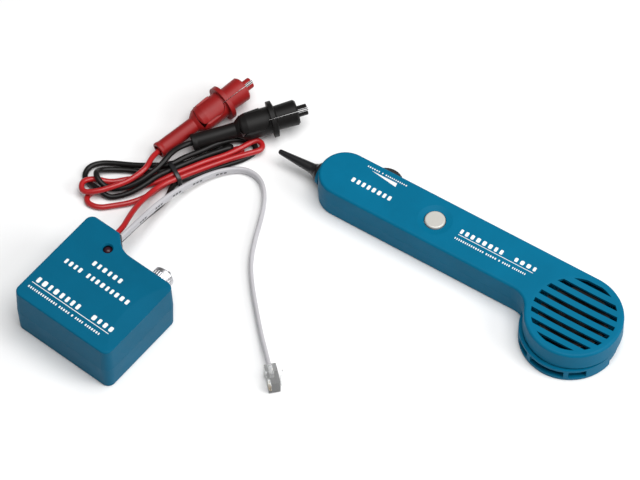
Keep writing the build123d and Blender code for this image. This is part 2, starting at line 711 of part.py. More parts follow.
def clip_fixed_half():
    """The insulated half that carries the lead tube; its back is cut away for the lever."""
    swing = CLIP_LEVER_REACH + FIT_GAP
    with BuildPart() as half:
        add(clip_shell())
        with BuildSketch(Plane.XZ):
            with BuildLine():
                Polyline(
                    (0, 0),
                    (0, CLIP_TUBE_RADIUS + 0.4),
                    (1.6, CLIP_TUBE_RADIUS + 0.4),
                    (3.0, CLIP_TUBE_RADIUS),
                    (28.4, CLIP_TUBE_RADIUS),
                    (28.4, 0),
                    close=True,
                )
            make_face()
        revolve(axis=Axis.X)
        with Locations((CLIP_PIN_PLACE - 0.2, 0, -FIT_GAP / 2)):
            Box(40, 40, 40, align=(Align.MIN, Align.CENTER, Align.MIN), mode=Mode.SUBTRACT)
        add(clip_sector(swing, 90, 180 + CLIP_OPENING + 4, 40), mode=Mode.SUBTRACT)
        # flat sides and round hubs that the lever's skirts slide over
        for side in (-1, 1):
            add(
                clip_sector(swing, 90, 270, 10, side * (CLIP_SKIRT_INNER - FIT_GAP + 5)),
                mode=Mode.SUBTRACT,
            )
            hub_place = (CLIP_PIN_PLACE, side * (CLIP_SKIRT_INNER - FIT_GAP + 5), 0)
            with Locations(Location(hub_place, (90, 0, 0))):
                Cylinder(CLIP_HUB_RADIUS + FIT_GAP, 10, mode=Mode.SUBTRACT)
        fillet(half.faces().sort_by(Axis.X)[0].edges(), 0.5)
        with BuildSketch(Plane.YZ):
            Circle(CLIP_BORE_RADIUS)
        extrude(amount=26.0, mode=Mode.SUBTRACT)
        with BuildSketch(Plane.YZ):
            Circle(CLIP_MOUTH_RADIUS)
        extrude(amount=14.0, mode=Mode.SUBTRACT)
        add(clip_nub(-1))
    return half


def clip_lever_half():
    """The insulated half that the thumb presses, with skirts over the fixed half's sides."""
    with BuildPart() as skirt_space:
        add(clip_sector(CLIP_LEVER_REACH, 90, 270, 30))
        with Locations((CLIP_PIN_PLACE, 0, -3.8)):
            Box(40, 40, 40, align=(Align.CENTER, Align.CENTER, Align.MAX), mode=Mode.SUBTRACT)
        with Locations(Location((CLIP_PIN_PLACE, 0, 0), (90, 0, 0))):
            Cylinder(CLIP_HUB_RADIUS, 30)
        Box(200, 2 * CLIP_SKIRT_INNER, 40, mode=Mode.SUBTRACT)
    with BuildPart() as skirts:
        add(clip_shell())
        add(skirt_space.part, mode=Mode.INTERSECT)
    with BuildPart() as upper_space:
        add(clip_sector(CLIP_LEVER_REACH, 90, 180, 30))
        with Locations((CLIP_PIN_PLACE - 0.2, 0, 0)):
            Box(40, 30, 20, align=(Align.MIN, Align.CENTER, Align.MIN))
        with Locations((CLIP_PIN_PLACE, 0, FIT_GAP / 2)):
            Box(80, 40, 40, align=(Align.CENTER, Align.CENTER, Align.MAX), mode=Mode.SUBTRACT)
    with BuildPart() as half:
        add(clip_shell())
        add(upper_space.part, mode=Mode.INTERSECT)
        # low smooth thumb pad
        with Locations(Location((36.4, 0, CLIP_BODY_RADIUS - 0.6), (0, -3, 0))):
            Box(9.0, 7.0, 1.6)
        add(skirts.part)
        add(clip_nub(1))
    return half


def clip_jaw(side, ear_width, ear_inner):
    """A folded sheet jaw: a toothed channel with two ears round the hinge pin. side is +1 or -1 in Z."""
    sheet = 0.5
    with BuildPart() as jaw:
        with BuildSketch(Plane.XZ.offset(-2.9)):
            with BuildLine():
                Polyline(
                    (34.0, side * 2.5),
                    (34.0, side * 4.4),
                    (52.0, side * 4.4),
                    (57.0, side * 2.7),
                    (60.0, side * 0.75),
                    (CLIP_JAW_END, side * 0.75),
                    (CLIP_JAW_END, side * 0.2),
                    (46.0, side * 0.2),
                    (44.0, side * 2.5),
                    close=True,
                )
            make_face()
        extrude(amount=5.8)
        # hollow of the channel, open towards the other jaw
        with Locations((33.0, 0, side * (4.4 - sheet))):
            Box(
                CLIP_NOSE_END - 35.6,
                5.8 - 2 * sheet,
                8,
                align=(Align.MIN, Align.CENTER, Align.MAX if side > 0 else Align.MIN),
                mode=Mode.SUBTRACT,
            )
        # teeth along both lips
        for step in range(5):
            with BuildSketch(Plane.XZ.offset(-4)):
                with Locations((48.4 + 2.4 * step, side * 0.2)):
                    RegularPolygon(0.9, 3, rotation=90 if side > 0 else -90)
            extrude(amount=8, mode=Mode.SUBTRACT)
        # ears round the pin
        with BuildSketch(Plane.XZ.offset(-ear_width / 2)):
            with Locations((CLIP_PIN_PLACE, 0)):
                Circle(2.0)
            with Locations((CLIP_PIN_PLACE, side * 2.2)):
                Rectangle(4.0, 4.4)
        extrude(amount=ear_width)
        with Locations((CLIP_PIN_PLACE, 0, side * (4.4 - sheet))):
            Box(
                6.0,
                ear_inner,
                12,
                align=(Align.CENTER, Align.CENTER, Align.MAX if side > 0 else Align.MIN),
                mode=Mode.SUBTRACT,
            )
        with BuildSketch(Plane.XZ.offset(-10)):
            with Locations((CLIP_PIN_PLACE, 0)):
                Circle(1.0 + RUNNING_GAP)
        extrude(amount=20, mode=Mode.SUBTRACT)
    return jaw


def clip_spring():
    """Torsion spring: four close turns of wire round the hinge pin."""
    with BuildPart() as spring:
        for turn in range(4):
            with BuildSketch(Plane.XZ.offset(1.05 - 0.7 * turn)):
                with Locations((CLIP_PIN_PLACE, 0)):
                    Circle(1.9)
                    Circle(1.25, mode=Mode.SUBTRACT)
            extrude(amount=0.6)
    return spring


for colour, frame in (("red", RED_CLIP), ("black", BLACK_CLIP)):
    fixed_half = clip_fixed_half()
    save(fixed_half, f"{colour}_clip_fixed_half", frame)
    lever_half = clip_lever_half()
    save(lever_half, f"{colour}_clip_lever", frame)
    fixed_jaw = clip_jaw(-1, 5.8, 4.8)
    save(fixed_jaw, f"{colour}_clip_fixed_jaw", frame)
    moving_jaw = clip_jaw(1, 4.4, 3.4)
    save(moving_jaw, f"{colour}_clip_moving_jaw", frame)
    with BuildPart() as pin:
        with BuildSketch(Plane.XZ.offset(-3.6)):
            with Locations((CLIP_PIN_PLACE, 0)):
                Circle(1.0)
        extrude(amount=7.2)
    save(pin, f"{colour}_clip_pin", frame)
    spring = clip_spring()
    save(spring, f"{colour}_clip_spring", frame)


# ================================================================ RECEIVER
def receiver_outline(head_radius=HEAD_RADIUS, inset=0.0):
    """Plan of the receiver: a straight handle tangent to the far side of a round head."""
    near_edge = HEAD_RADIUS - HANDLE_WIDTH
    with BuildSketch() as outline:
        with Locations((HANDLE_END, near_edge)):
            Rectangle(-HANDLE_END, HANDLE_WIDTH, align=Align.MIN)
        nose = [v for v in outline.vertices() if v.X < HANDLE_END + 1]
        fillet(nose, HANDLE_CORNER)
        Circle(head_radius)
        neck = outline.vertices().sort_by_distance((-head_radius, near_edge, 0))[0]
        fillet(neck, NECK_RADIUS)
        if inset:
            offset(amount=-inset, kind=Kind.ARC)
    return outline.sketch


RECEIVER_SCREWS = [(-155.6, 5.4), (-155.6, 18.8), (-24.4, 18.4), (21.9, -4.9)]
RECEIVER_BOSS_RADIUS = 3.0
COLLAR_NECK_RADIUS = 5.0
COLLAR_RADIUS = 6.8
RECEIVER_BATTERY_START = -77.0
DISH_DEPTH = 1.0

with BuildPart() as receiver_upper_shell:
    upper_height = RECEIVER_THICKNESS - RECEIVER_PARTING
    extrude(
        Plane.XY.offset(RECEIVER_PARTING).location * receiver_outline(),
        amount=upper_height,
        taper=RECEIVER_DRAFT,
    )
    fillet(receiver_upper_shell.faces().sort_by(Axis.Z)[-1].edges(), 1.6)
    extrude(
        Plane.XY.offset(RECEIVER_PARTING).location * receiver_outline(HEAD_RADIUS, WALL),
        amount=upper_height - WALL,
        taper=RECEIVER_DRAFT,
        mode=Mode.SUBTRACT,
    )
    # screw bosses and the thickened seat round the push button
    with BuildSketch(Plane.XY.offset(RECEIVER_PARTING)):
        with Locations(*RECEIVER_SCREWS):
            Circle(RECEIVER_BOSS_RADIUS)
    extrude(until=Until.NEXT)
    with BuildSketch(Plane.XY.offset(18.6)):
        with Locations((BUTTON_PLACE, HANDLE_CENTRE)):
            Circle(11.0)
    extrude(until=Until.NEXT)
    with BuildSketch(Plane.XY.offset(RECEIVER_PARTING)):
        with Locations(*RECEIVER_SCREWS):
            Circle(SCREW_RADIUS)
    extrude(amount=7.0, mode=Mode.SUBTRACT)
    # dished seat and hole of the push button
    dish_sphere = (BUTTON_DISH_RADIUS**2 + DISH_DEPTH**2) / (2 * DISH_DEPTH)
    with Locations((BUTTON_PLACE, HANDLE_CENTRE, RECEIVER_THICKNESS + dish_sphere - DISH_DEPTH)):
        Sphere(dish_sphere, mode=Mode.SUBTRACT)
    with Locations((BUTTON_PLACE, HANDLE_CENTRE, RECEIVER_THICKNESS)):
        Cylinder(BUTTON_RADIUS + FIT_GAP + 0.1, 12, mode=Mode.SUBTRACT)
    # loudspeaker grille: shallow dish, rim groove and straight slots
    grille_dish = 0.7
    grille_sphere = (GRILLE_RADIUS**2 + grille_dish**2) / (2 * grille_dish)
    with Locations((0, 0, RECEIVER_THICKNESS + grille_sphere - grille_dish)):
        Sphere(grille_sphere, mode=Mode.SUBTRACT)
    for index in range(GRILLE_SLOTS):
        slot_place = (index - (GRILLE_SLOTS - 1) / 2) * GRILLE_PITCH
        with BuildSketch(Plane.XY.offset(RECEIVER_THICKNESS - 4)):
            Circle(GRILLE_RADIUS - 0.9)
            with Locations((0, slot_place)):
                Rectangle(2 * GRILLE_RADIUS, SLOT_WIDTH, mode=Mode.INTERSECT)
        extrude(amount=6, mode=Mode.SUBTRACT)
    # slot in the far wall for the thumbwheel
    with Locations((WHEEL_PLACE, HEAD_RADIUS, WHEEL_BOTTOM - 0.4)):
        Box(
            19.0,
            6.0,
            WHEEL_THICKNESS + 0.8,
            align=(Align.CENTER, Align.CENTER, Align.MIN),
            mode=Mode.SUBTRACT,
        )
    # hole and flat seat for the tip's collar
    with BuildSketch(Plane(origin=(HANDLE_END - 5, HANDLE_CENTRE, 10.0), z_dir=(1, 0, 0))):
        Circle(COLLAR_NECK_RADIUS + 0.05)
    extrude(amount=12, mode=Mode.SUBTRACT)
    with BuildSketch(Plane(origin=(HANDLE_END - 5, HANDLE_CENTRE, 10.0), z_dir=(1, 0, 0))):
        Circle(COLLAR_RADIUS + 0.1)
    extrude(amount=5 + TIP_SEAT_DEPTH, mode=Mode.SUBTRACT)
save(receiver_upper_shell, "receiver_upper_shell", RECEIVER)

RECEIVER_DOOR = (-84.0, 1.1)
RECEIVER_DOOR_SIZE = (54.0, 22.0)
LIP_RADIUS = 27.4
LIP_CENTRE = (-1.0, -1.7)
LIP_THICKNESS = 2.0
LIP_HEIGHT = 8.6
WINDOWS = [(-90, 41), (-126, 20), (-54, 20)]

with BuildPart() as receiver_lower_shell:
    lower_height = RECEIVER_PARTING - 0.05
    extrude(
        Plane.XY.offset(lower_height).location * receiver_outline(HEAD_RADIUS - HEAD_STEP),
        amount=lower_height,
        dir=(0, 0, -1),
        taper=RECEIVER_DRAFT,
    )
    fillet(receiver_lower_shell.faces().sort_by(Axis.Z)[0].edges(), 1.2)
    extrude(
        Plane.XY.offset(lower_height).location * receiver_outline(HEAD_RADIUS - HEAD_STEP, WALL),
        amount=lower_height - WALL,
        dir=(0, 0, -1),
        taper=RECEIVER_DRAFT,
        mode=Mode.SUBTRACT,
    )
    # sound-outlet lip round the near side of the head
    with BuildSketch(Plane.XY.offset(0.6)):
        with Locations(LIP_CENTRE):
            Circle(LIP_RADIUS)
            Circle(LIP_RADIUS - LIP_THICKNESS, mode=Mode.SUBTRACT)
        with Locations((0, -5)):
            Rectangle(80, 80, align=(Align.CENTER, Align.MIN), mode=Mode.SUBTRACT)
    extrude(amount=LIP_HEIGHT)
    with BuildSketch(Plane.XY.offset(0.6)):
        with Locations(LIP_CENTRE):
            Circle(LIP_RADIUS - LIP_THICKNESS + 0.2)
        Circle(HEAD_RADIUS - HEAD_STEP - 1.0, mode=Mode.SUBTRACT)
        with Locations((0, -5)):
            Rectangle(80, 80, align=(Align.CENTER, Align.MIN), mode=Mode.SUBTRACT)
    extrude(amount=1.2)
    # the three outlet windows go through the lip and the wall behind it
    for middle, spread in WINDOWS:
        with BuildSketch(Plane.XY.offset(2.4)):
            with BuildLine():
                start = math.radians(middle - spread / 2)
                end = math.radians(middle + spread / 2)
                inner = 22.4
                outer = LIP_RADIUS + 3
                first_corner = (inner * math.cos(start), inner * math.sin(start))
                last_corner = (inner * math.cos(end), inner * math.sin(end))
                PolarLine(first_corner, outer - inner, math.degrees(start))
                CenterArc((0, 0), outer, middle - spread / 2, spread)
                PolarLine(last_corner, outer - inner, math.degrees(end))
                CenterArc((0, 0), inner, middle - spread / 2, spread)
            make_face()
        extrude(amount=5.2, mode=Mode.SUBTRACT)
    # screw bosses
    with BuildSketch(Plane.XY.offset(WALL)):
        with Locations(*RECEIVER_SCREWS):
            Circle(RECEIVER_BOSS_RADIUS)
    extrude(amount=lower_height - WALL)
    for place in RECEIVER_SCREWS:
        with Locations((*place, 0)):
            Cylinder(SCREW_RADIUS + 0.15, 40, mode=Mode.SUBTRACT)
            Cylinder(
                SCREW_HEAD_RADIUS + 0.2,
                3.6,
                align=(Align.CENTER, Align.CENTER, Align.MIN),
                mode=Mode.SUBTRACT,
            )
    # battery door opening
    with Locations((*RECEIVER_DOOR, 0)):
        Box(*RECEIVER_DOOR_SIZE, 1.0, align=Align.MIN, mode=Mode.SUBTRACT)
    with Locations((RECEIVER_DOOR[0] + 1.6, RECEIVER_DOOR[1] + 0.9, 0)):
        Box(RECEIVER_DOOR_SIZE[0] - 3.2, RECEIVER_DOOR_SIZE[1] - 1.8, 4, align=Align.MIN, mode=Mode.SUBTRACT)
    # hole and flat seat for the tip's collar
    with BuildSketch(Plane(origin=(HANDLE_END - 5, HANDLE_CENTRE, 10.0), z_dir=(1, 0, 0))):
        Circle(COLLAR_NECK_RADIUS + 0.05)
    extrude(amount=12, mode=Mode.SUBTRACT)
    with BuildSketch(Plane(origin=(HANDLE_END - 5, HANDLE_CENTRE, 10.0), z_dir=(1, 0, 0))):
        Circle(COLLAR_RADIUS + 0.1)
    extrude(amount=5 + TIP_SEAT_DEPTH, mode=Mode.SUBTRACT)
save(receiver_lower_shell, "receiver_lower_shell", RECEIVER)

with BuildPart() as receiver_battery_door:
    with Locations((RECEIVER_DOOR[0] + 0.2, RECEIVER_DOOR[1] + 0.2, 0)):
        Box(RECEIVER_DOOR_SIZE[0] - 0.4, RECEIVER_DOOR_SIZE[1] - 0.4, 0.95, align=Align.MIN)
    with Locations((RECEIVER_DOOR[0] + 1.8, RECEIVER_DOOR[1] + 1.1, 0.95)):
        Box(RECEIVER_DOOR_SIZE[0] - 3.6, RECEIVER_DOOR_SIZE[1] - 2.2, 0.85, align=Align.MIN)
    with Locations((RECEIVER_DOOR[0] + 9, HANDLE_CENTRE, 0)):
        with GridLocations(1.8, 0, 5, 1):
            Box(0.8, 12, 0.6, mode=Mode.SUBTRACT)
save(receiver_battery_door, "receiver_battery_door", RECEIVER)

receiver_battery_frame = Plane(RECEIVER.location * Location((RECEIVER_BATTERY_START, HANDLE_CENTRE, 2.3)))
receiver_battery = block_battery()
save(receiver_battery, "receiver_battery", receiver_battery_frame)
receiver_battery_snap = battery_snap()
save(receiver_battery_snap, "receiver_battery_snap", receiver_battery_frame)

RECEIVER_BOARD = (-150.0, 0.4)
RECEIVER_BOARD_SIZE = (66.0, 23.4)
RECEIVER_BOARD_HEIGHT = 10.6
receiver_board_top = RECEIVER_BOARD_HEIGHT + BOARD_THICKNESS

with BuildPart() as receiver_circuit_board:
    with Locations((*RECEIVER_BOARD, RECEIVER_BOARD_HEIGHT)):
        Box(*RECEIVER_BOARD_SIZE, BOARD_THICKNESS, align=Align.MIN)
save(receiver_circuit_board, "receiver_circuit_board", RECEIVER)

with BuildPart() as receiver_board_components:
    with Locations((-113.0, 12.0, receiver_board_top), (-113.0, 20.0, receiver_board_top)):
        Box(9.6, 6.4, 3.3, align=(Align.CENTER, Align.CENTER, Align.MIN))
    with Locations((-145.0, 5.0, receiver_board_top), (-105.0, 4.0, receiver_board_top)):
        Cylinder(2.0, 3.6, align=(Align.CENTER, Align.CENTER, Align.MIN))
    with Locations((-120.0, 4.0, receiver_board_top)):
        Box(10.0, 3.6, 3.0, align=(Align.CENTER, Align.CENTER, Align.MIN))
save(receiver_board_components, "receiver_board_components", RECEIVER)

POT_RADIUS = 4.8
WHEEL_SHAFT_RADIUS = 1.6
volume_pot_body = bored_disc(POT_RADIUS, WHEEL_SHAFT_RADIUS + RUNNING_GAP, 3.4)
pot_frame = Plane(RECEIVER.location * Location((WHEEL_PLACE, WHEEL_CENTRE, receiver_board_top)))
save(volume_pot_body, "volume_pot_body", pot_frame)

with BuildPart() as volume_wheel:
    Cylinder(WHEEL_RADIUS, WHEEL_THICKNESS, align=(Align.CENTER, Align.CENTER, Align.MIN))
    chamfer(volume_wheel.edges().filter_by(GeomType.CIRCLE), 0.5)
    with PolarLocations(WHEEL_RADIUS + 0.1, 40):
        Cylinder(0.38, 8, mode=Mode.SUBTRACT)
    with Locations((0, 0, 0.5)):
        Cylinder(WHEEL_SHAFT_RADIUS, 4.2, align=(Align.CENTER, Align.CENTER, Align.MAX))
wheel_frame = Plane(RECEIVER.location * Location((WHEEL_PLACE, WHEEL_CENTRE, WHEEL_BOTTOM)))
save(volume_wheel, "volume_wheel", wheel_frame)

with BuildPart() as push_button:
    with BuildSketch(Plane.XZ):
        with BuildLine():
            Polyline(
                (0, 15.9),
                (1.7, 15.9),
                (1.7, 17.0),
                (7.0, 17.0),
                (7.0, 18.25),
                (BUTTON_RADIUS, 18.25),
                (BUTTON_RADIUS, 22.5),
                (0, 22.5),
                close=True,
            )
        make_face()
    revolve(axis=Axis.Z)
    fillet(push_button.faces().sort_by(Axis.Z)[-1].edges(), 0.9)
save(push_button, "push_button", Plane(RECEIVER.location * Location((BUTTON_PLACE, HANDLE_CENTRE, 0))))

with BuildPart() as button_switch:
    with Locations((BUTTON_PLACE, HANDLE_CENTRE, receiver_board_top)):
        Box(6.0, 6.0, 2.2, align=(Align.CENTER, Align.CENTER, Align.MIN))
save(button_switch, "button_switch", RECEIVER)

with BuildPart() as speaker_frame:
    with BuildSketch(Plane.XZ):
        with BuildLine():
            Polyline(
                (9.3, 11.0),
                (10.4, 11.0),
                (18.0, 17.0),
                (SPEAKER_RADIUS, 17.0),
                (SPEAKER_RADIUS, 18.6),
                (17.4, 18.6),
                (9.3, 12.2),
                close=True,
            )
        make_face()
    revolve(axis=Axis.Z)
save(speaker_frame, "speaker_frame", RECEIVER)

with BuildPart() as speaker_cone:
    with BuildSketch(Plane.XZ):
        with BuildLine():
            Polyline(
                (0, 13.0),
                (6.4, 13.0),
                (17.2, 18.8),
                (18.4, 18.8),
                (18.4, 19.2),
                (17.0, 19.2),
                (6.2, 13.5),
                (4.6, 14.6),
                (2.4, 15.2),
                (0, 15.4),
                close=True,
            )
        make_face()
    revolve(axis=Axis.Z)
save(speaker_cone, "speaker_cone", RECEIVER)

with BuildPart() as speaker_magnet:
    with Locations((0, 0, 6.2)):
        Cylinder(9.0, 4.8, align=(Align.CENTER, Align.CENTER, Align.MIN))
    with Locations((0, 0, 11.0)):
        Cylinder(9.2, 1.1, align=(Align.CENTER, Align.CENTER, Align.MIN))
    chamfer(speaker_magnet.faces().sort_by(Axis.Z)[0].edges(), 0.5)
save(speaker_magnet, "speaker_magnet", RECEIVER)

# ---------------------------------------------------------------- probe tip
with BuildPart() as tip_collar:
    with BuildSketch(Plane.XZ):
        with BuildLine():
            Polyline(
                (4.6, 2.7),
                (4.6, COLLAR_NECK_RADIUS),
                (-0.05, COLLAR_NECK_RADIUS),
                (-0.05, COLLAR_RADIUS),
                (-2.2, COLLAR_RADIUS - 0.6),
                (-2.2, 2.7),
                close=True,
            )
        make_face()
    revolve(axis=Axis.X)
save(tip_collar, "tip_collar", PROBE)

with BuildPart() as probe_tip:
    with BuildSketch(Plane.XZ):
        with BuildLine():
            Polyline(
                (7.0, 0),
                (7.0, 2.55),
                (-2.25, 2.55),
                (-2.25, 5.9),
                (-3.6, 5.5),
                (-5.0, 4.1),
                (-7.4, 3.1),
                (-PROBE_TIP_LENGTH, 1.4),
                (-PROBE_TIP_LENGTH, 0),
                close=True,
            )
        make_face()
    revolve(axis=Axis.X)
    fillet(probe_tip.faces().sort_by(Axis.X)[0].edges(), 1.2)
save(probe_tip, "probe_tip", PROBE)

with BuildPart() as tip_contact:
    with Locations((7.05, 0, 0)):
        Box(0.5, 5.0, 2.6, align=(Align.MIN, Align.CENTER, Align.MIN))
    with Locations((7.05, 0, 2.25)):
        Box(13.5, 5.0, 0.4, align=(Align.MIN, Align.CENTER, Align.MIN))
save(tip_contact, "tip_contact", PROBE)

with BuildPart() as receiver_case_screws:
    for place in RECEIVER_SCREWS:
        add(Location((*place, 1.9)) * pan_screw(13.0))
save(receiver_case_screws, "receiver_case_screws", RECEIVER)
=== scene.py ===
import bpy
import bmesh
import math
import random
import numpy as np
from mathutils import Matrix, Vector


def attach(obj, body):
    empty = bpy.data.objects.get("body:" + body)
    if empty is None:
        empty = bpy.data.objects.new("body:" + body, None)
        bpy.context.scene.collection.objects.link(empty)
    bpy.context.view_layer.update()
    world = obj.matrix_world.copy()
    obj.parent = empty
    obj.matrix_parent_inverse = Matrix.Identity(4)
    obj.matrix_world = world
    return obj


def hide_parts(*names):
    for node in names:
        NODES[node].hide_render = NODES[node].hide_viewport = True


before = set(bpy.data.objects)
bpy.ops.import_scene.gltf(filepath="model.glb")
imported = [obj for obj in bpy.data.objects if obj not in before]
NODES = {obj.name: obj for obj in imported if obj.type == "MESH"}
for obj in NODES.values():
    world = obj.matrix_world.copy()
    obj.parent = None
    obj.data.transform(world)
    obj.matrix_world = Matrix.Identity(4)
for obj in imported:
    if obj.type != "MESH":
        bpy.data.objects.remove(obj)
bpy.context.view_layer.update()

MM = 0.001  # sizes are in metres, except the cords' routes, LEAD_DIAMETER and the print, in mm

# ------------------------------------------------------------------ camera
CAMERA_TARGET = Vector((-0.0341, 0.0457, 0.0))
CAMERA_DISTANCE = 1.9266
CAMERA_AZIMUTH = math.radians(32.5)
CAMERA_ELEVATION = math.radians(56.0)
SENSOR_WIDTH = 36.0
CAMERA_LENS = 196.9
CLIP_NEAR = 0.05
CLIP_FAR = 20.0

camera_data = bpy.data.cameras.new("camera")
camera_data.sensor_width = SENSOR_WIDTH
camera_data.lens = CAMERA_LENS
camera_data.clip_start = CLIP_NEAR
camera_data.clip_end = CLIP_FAR
camera = bpy.data.objects.new("camera", camera_data)
bpy.context.scene.collection.objects.link(camera)
camera_back = Vector((
    math.sin(CAMERA_AZIMUTH) * math.cos(CAMERA_ELEVATION),
    -math.cos(CAMERA_AZIMUTH) * math.cos(CAMERA_ELEVATION),
    math.sin(CAMERA_ELEVATION),
))
camera.location = CAMERA_TARGET + camera_back * CAMERA_DISTANCE
camera.rotation_mode = "QUATERNION"
camera.rotation_quaternion = (-camera_back).to_track_quat("-Z", "Y")
bpy.context.scene.camera = camera


# ------------------------------------------------------------------ materials
MOTTLE_SCALE = 35.0
MOTTLE_STOPS = (0.3, 0.7)
WEAR_SCALE = 260.0
WEAR_STOPS = (0.66, 0.78)
GLOSS_PER_GRAIN = 0.12
BEVEL_SAMPLES = 4
COAT_ROUGHNESS = 0.15


def new_material(name):
    material = bpy.data.materials.new(name)
    material.use_nodes = True
    tree = material.node_tree
    shader = tree.nodes["Principled BSDF"]
    return material, tree, shader


def node(tree, kind, **settings):
    made = tree.nodes.new(kind)
    for key, value in settings.items():
        setattr(made, key, value)
    return made


def noise(tree, scale, detail=3.0, roughness=0.5):
    """A noise texture in the object's own frame; scale is features per metre."""
    coordinates = node(tree, "ShaderNodeTexCoord")
    texture = node(tree, "ShaderNodeTexNoise")
    texture.inputs["Scale"].default_value = scale
    texture.inputs["Detail"].default_value = detail
    texture.inputs["Roughness"].default_value = roughness
    tree.links.new(coordinates.outputs["Object"], texture.inputs["Vector"])
    return texture.outputs["Fac"]


def ramp(tree, source, stops):
    made = node(tree, "ShaderNodeValToRGB")
    elements = made.color_ramp.elements
    while len(elements) < len(stops):
        elements.new(0.5)
    for element, (place, colour) in zip(elements, stops):
        element.position = place
        element.color = (*colour, 1.0)
    tree.links.new(source, made.inputs["Fac"])
    return made.outputs["Color"]


def span(tree, source, low, high):
    """Maps a 0..1 value to low..high."""
    made = node(tree, "ShaderNodeMapRange")
    made.inputs["To Min"].default_value = low
    made.inputs["To Max"].default_value = high
    tree.links.new(source, made.inputs["Value"])
    return made.outputs["Result"]


def shade(colour, factor):
    return tuple(min(1.0, c * factor) for c in colour)


def two_tone(tree, source, low, high):
    """Colours a 0..1 value from low to high, with most of the change in its middle."""
    return ramp(tree, source, list(zip(MOTTLE_STOPS, (low, high))))


def rounded_normal(tree, radius):
    """The surface normal with edges softened over a radius in metres."""
    rounded = node(tree, "ShaderNodeBevel", samples=BEVEL_SAMPLES)
    rounded.inputs["Radius"].default_value = radius
    return rounded.outputs["Normal"]


def surface(name, colour, roughness, grain=900.0, bump=0.15, depth=0.00003, variation=0.10,
            metallic=0.0, coat=0.0, specular=0.5, edge=0.0003, spread=0.06, wear=None):
    """Moulded, plated or drawn surface: mottled colour, uneven gloss, fine grain and soft edges."""
    material, tree, shader = new_material(name)
    links = tree.links
    base = two_tone(tree, noise(tree, MOTTLE_SCALE, detail=4.0, roughness=0.6),
                    shade(colour, 1.0 - variation), shade(colour, 1.0 + variation))
    if wear:
        worn = noise(tree, WEAR_SCALE, detail=5.0, roughness=0.7)
        mask = ramp(tree, worn, list(zip(WEAR_STOPS, ((0, 0, 0), (1, 1, 1)))))
        mix = node(tree, "ShaderNodeMix", data_type="RGBA")
        links.new(mask, mix.inputs["Factor"])
        links.new(base, mix.inputs["A"])
        mix.inputs["B"].default_value = (*wear, 1.0)
        base = mix.outputs["Result"]
    links.new(base, shader.inputs["Base Color"])
    fine = noise(tree, grain, roughness=0.6)
    gloss = noise(tree, grain * GLOSS_PER_GRAIN, roughness=0.6)
    links.new(span(tree, gloss, roughness - spread, roughness + spread), shader.inputs["Roughness"])
    bumped = node(tree, "ShaderNodeBump")
    bumped.inputs["Strength"].default_value = bump
    bumped.inputs["Distance"].default_value = depth
    links.new(fine, bumped.inputs["Height"])
    if edge:
        links.new(rounded_normal(tree, edge), bumped.inputs["Normal"])
    links.new(bumped.outputs["Normal"], shader.inputs["Normal"])
    shader.inputs["Metallic"].default_value = metallic
    shader.inputs["Specular IOR Level"].default_value = specular
    shader.inputs["Coat Weight"].default_value = coat
    shader.inputs["Coat Roughness"].default_value = COAT_ROUGHNESS
    return material


SENDER_BLUE = (0.0005, 0.103, 0.190)
RECEIVER_BLUE = (0.0005, 0.127, 0.234)
VINYL_RED = (0.28, 0.009, 0.009)
CORD_RED = (0.40, 0.010, 0.012)
VINYL_BLACK = (0.0065, 0.0058, 0.0056)
MOULDED_BLACK = (0.010, 0.010, 0.011)
WORN_STEEL = (0.22, 0.21, 0.19)

CASE_MOULDING = dict(grain=2600.0, bump=0.30, depth=0.00004, variation=0.07, specular=0.07)
BOOT_MOULDING = dict(grain=700.0, bump=0.35, depth=0.00006, spread=0.09)

sender_plastic = surface("sender_plastic", SENDER_BLUE, 0.46, **CASE_MOULDING)
receiver_plastic = surface("receiver_plastic", RECEIVER_BLUE, 0.46, **CASE_MOULDING)
black_plastic = surface("black_plastic", MOULDED_BLACK, 0.45, grain=1800.0, bump=0.25, variation=0.2)
tip_plastic = surface("tip_plastic", (0.008, 0.008, 0.009), 0.36, grain=1500.0, bump=0.2,
                      variation=0.25)
red_boot = surface("red_boot", VINYL_RED, 0.45, variation=0.12, specular=0.3, **BOOT_MOULDING)
black_boot = surface("black_boot", VINYL_BLACK, 0.48, variation=0.25, specular=0.2, **BOOT_MOULDING)
red_vinyl = surface("red_vinyl", CORD_RED, 0.30, grain=600.0, bump=0.15, variation=0.10, edge=0)
black_vinyl = surface("black_vinyl", VINYL_BLACK, 0.36, grain=600.0, bump=0.15, variation=0.25,
                      edge=0, specular=0.25)
cable_grey = surface("cable_grey", (0.47, 0.46, 0.48), 0.34, grain=500.0, bump=0.12, variation=0.06,
                     edge=0)
grommet_rubber = surface("grommet_rubber", (0.02, 0.02, 0.022), 0.6, grain=1400.0, bump=0.3,
                         variation=0.2)
chrome = surface("chrome", (0.60, 0.60, 0.62), 0.30, grain=300.0, bump=0.02, variation=0.04,
                 metallic=1.0, spread=0.04)
lever_chrome = surface("lever_chrome", (0.74, 0.74, 0.75), 0.13, grain=300.0, bump=0.05,
                       variation=0.05, metallic=1.0, spread=0.05)
satin_silver = surface("satin_silver", (0.55, 0.54, 0.50), 0.38, grain=1600.0, bump=0.1,
                       variation=0.05, metallic=0.2)
zinc_steel = surface("zinc_steel", (0.50, 0.50, 0.49), 0.30, bump=0.12, variation=0.14,
                     metallic=1.0, wear=WORN_STEEL)
spring_steel = surface("spring_steel", (0.40, 0.40, 0.41), 0.28, bump=0.1, variation=0.1,
                       metallic=1.0)
jaw_steel = surface("jaw_steel", (0.045, 0.045, 0.048), 0.50, bump=0.08, variation=0.2,
                    metallic=0.5)
gold = surface("gold", (0.78, 0.52, 0.18), 0.22, bump=0.05, variation=0.06, metallic=1.0)
led_red = surface("led_red", (0.030, 0.006, 0.012), 0.32, grain=500.0, bump=0.05, variation=0.15,
                  specular=0.35)
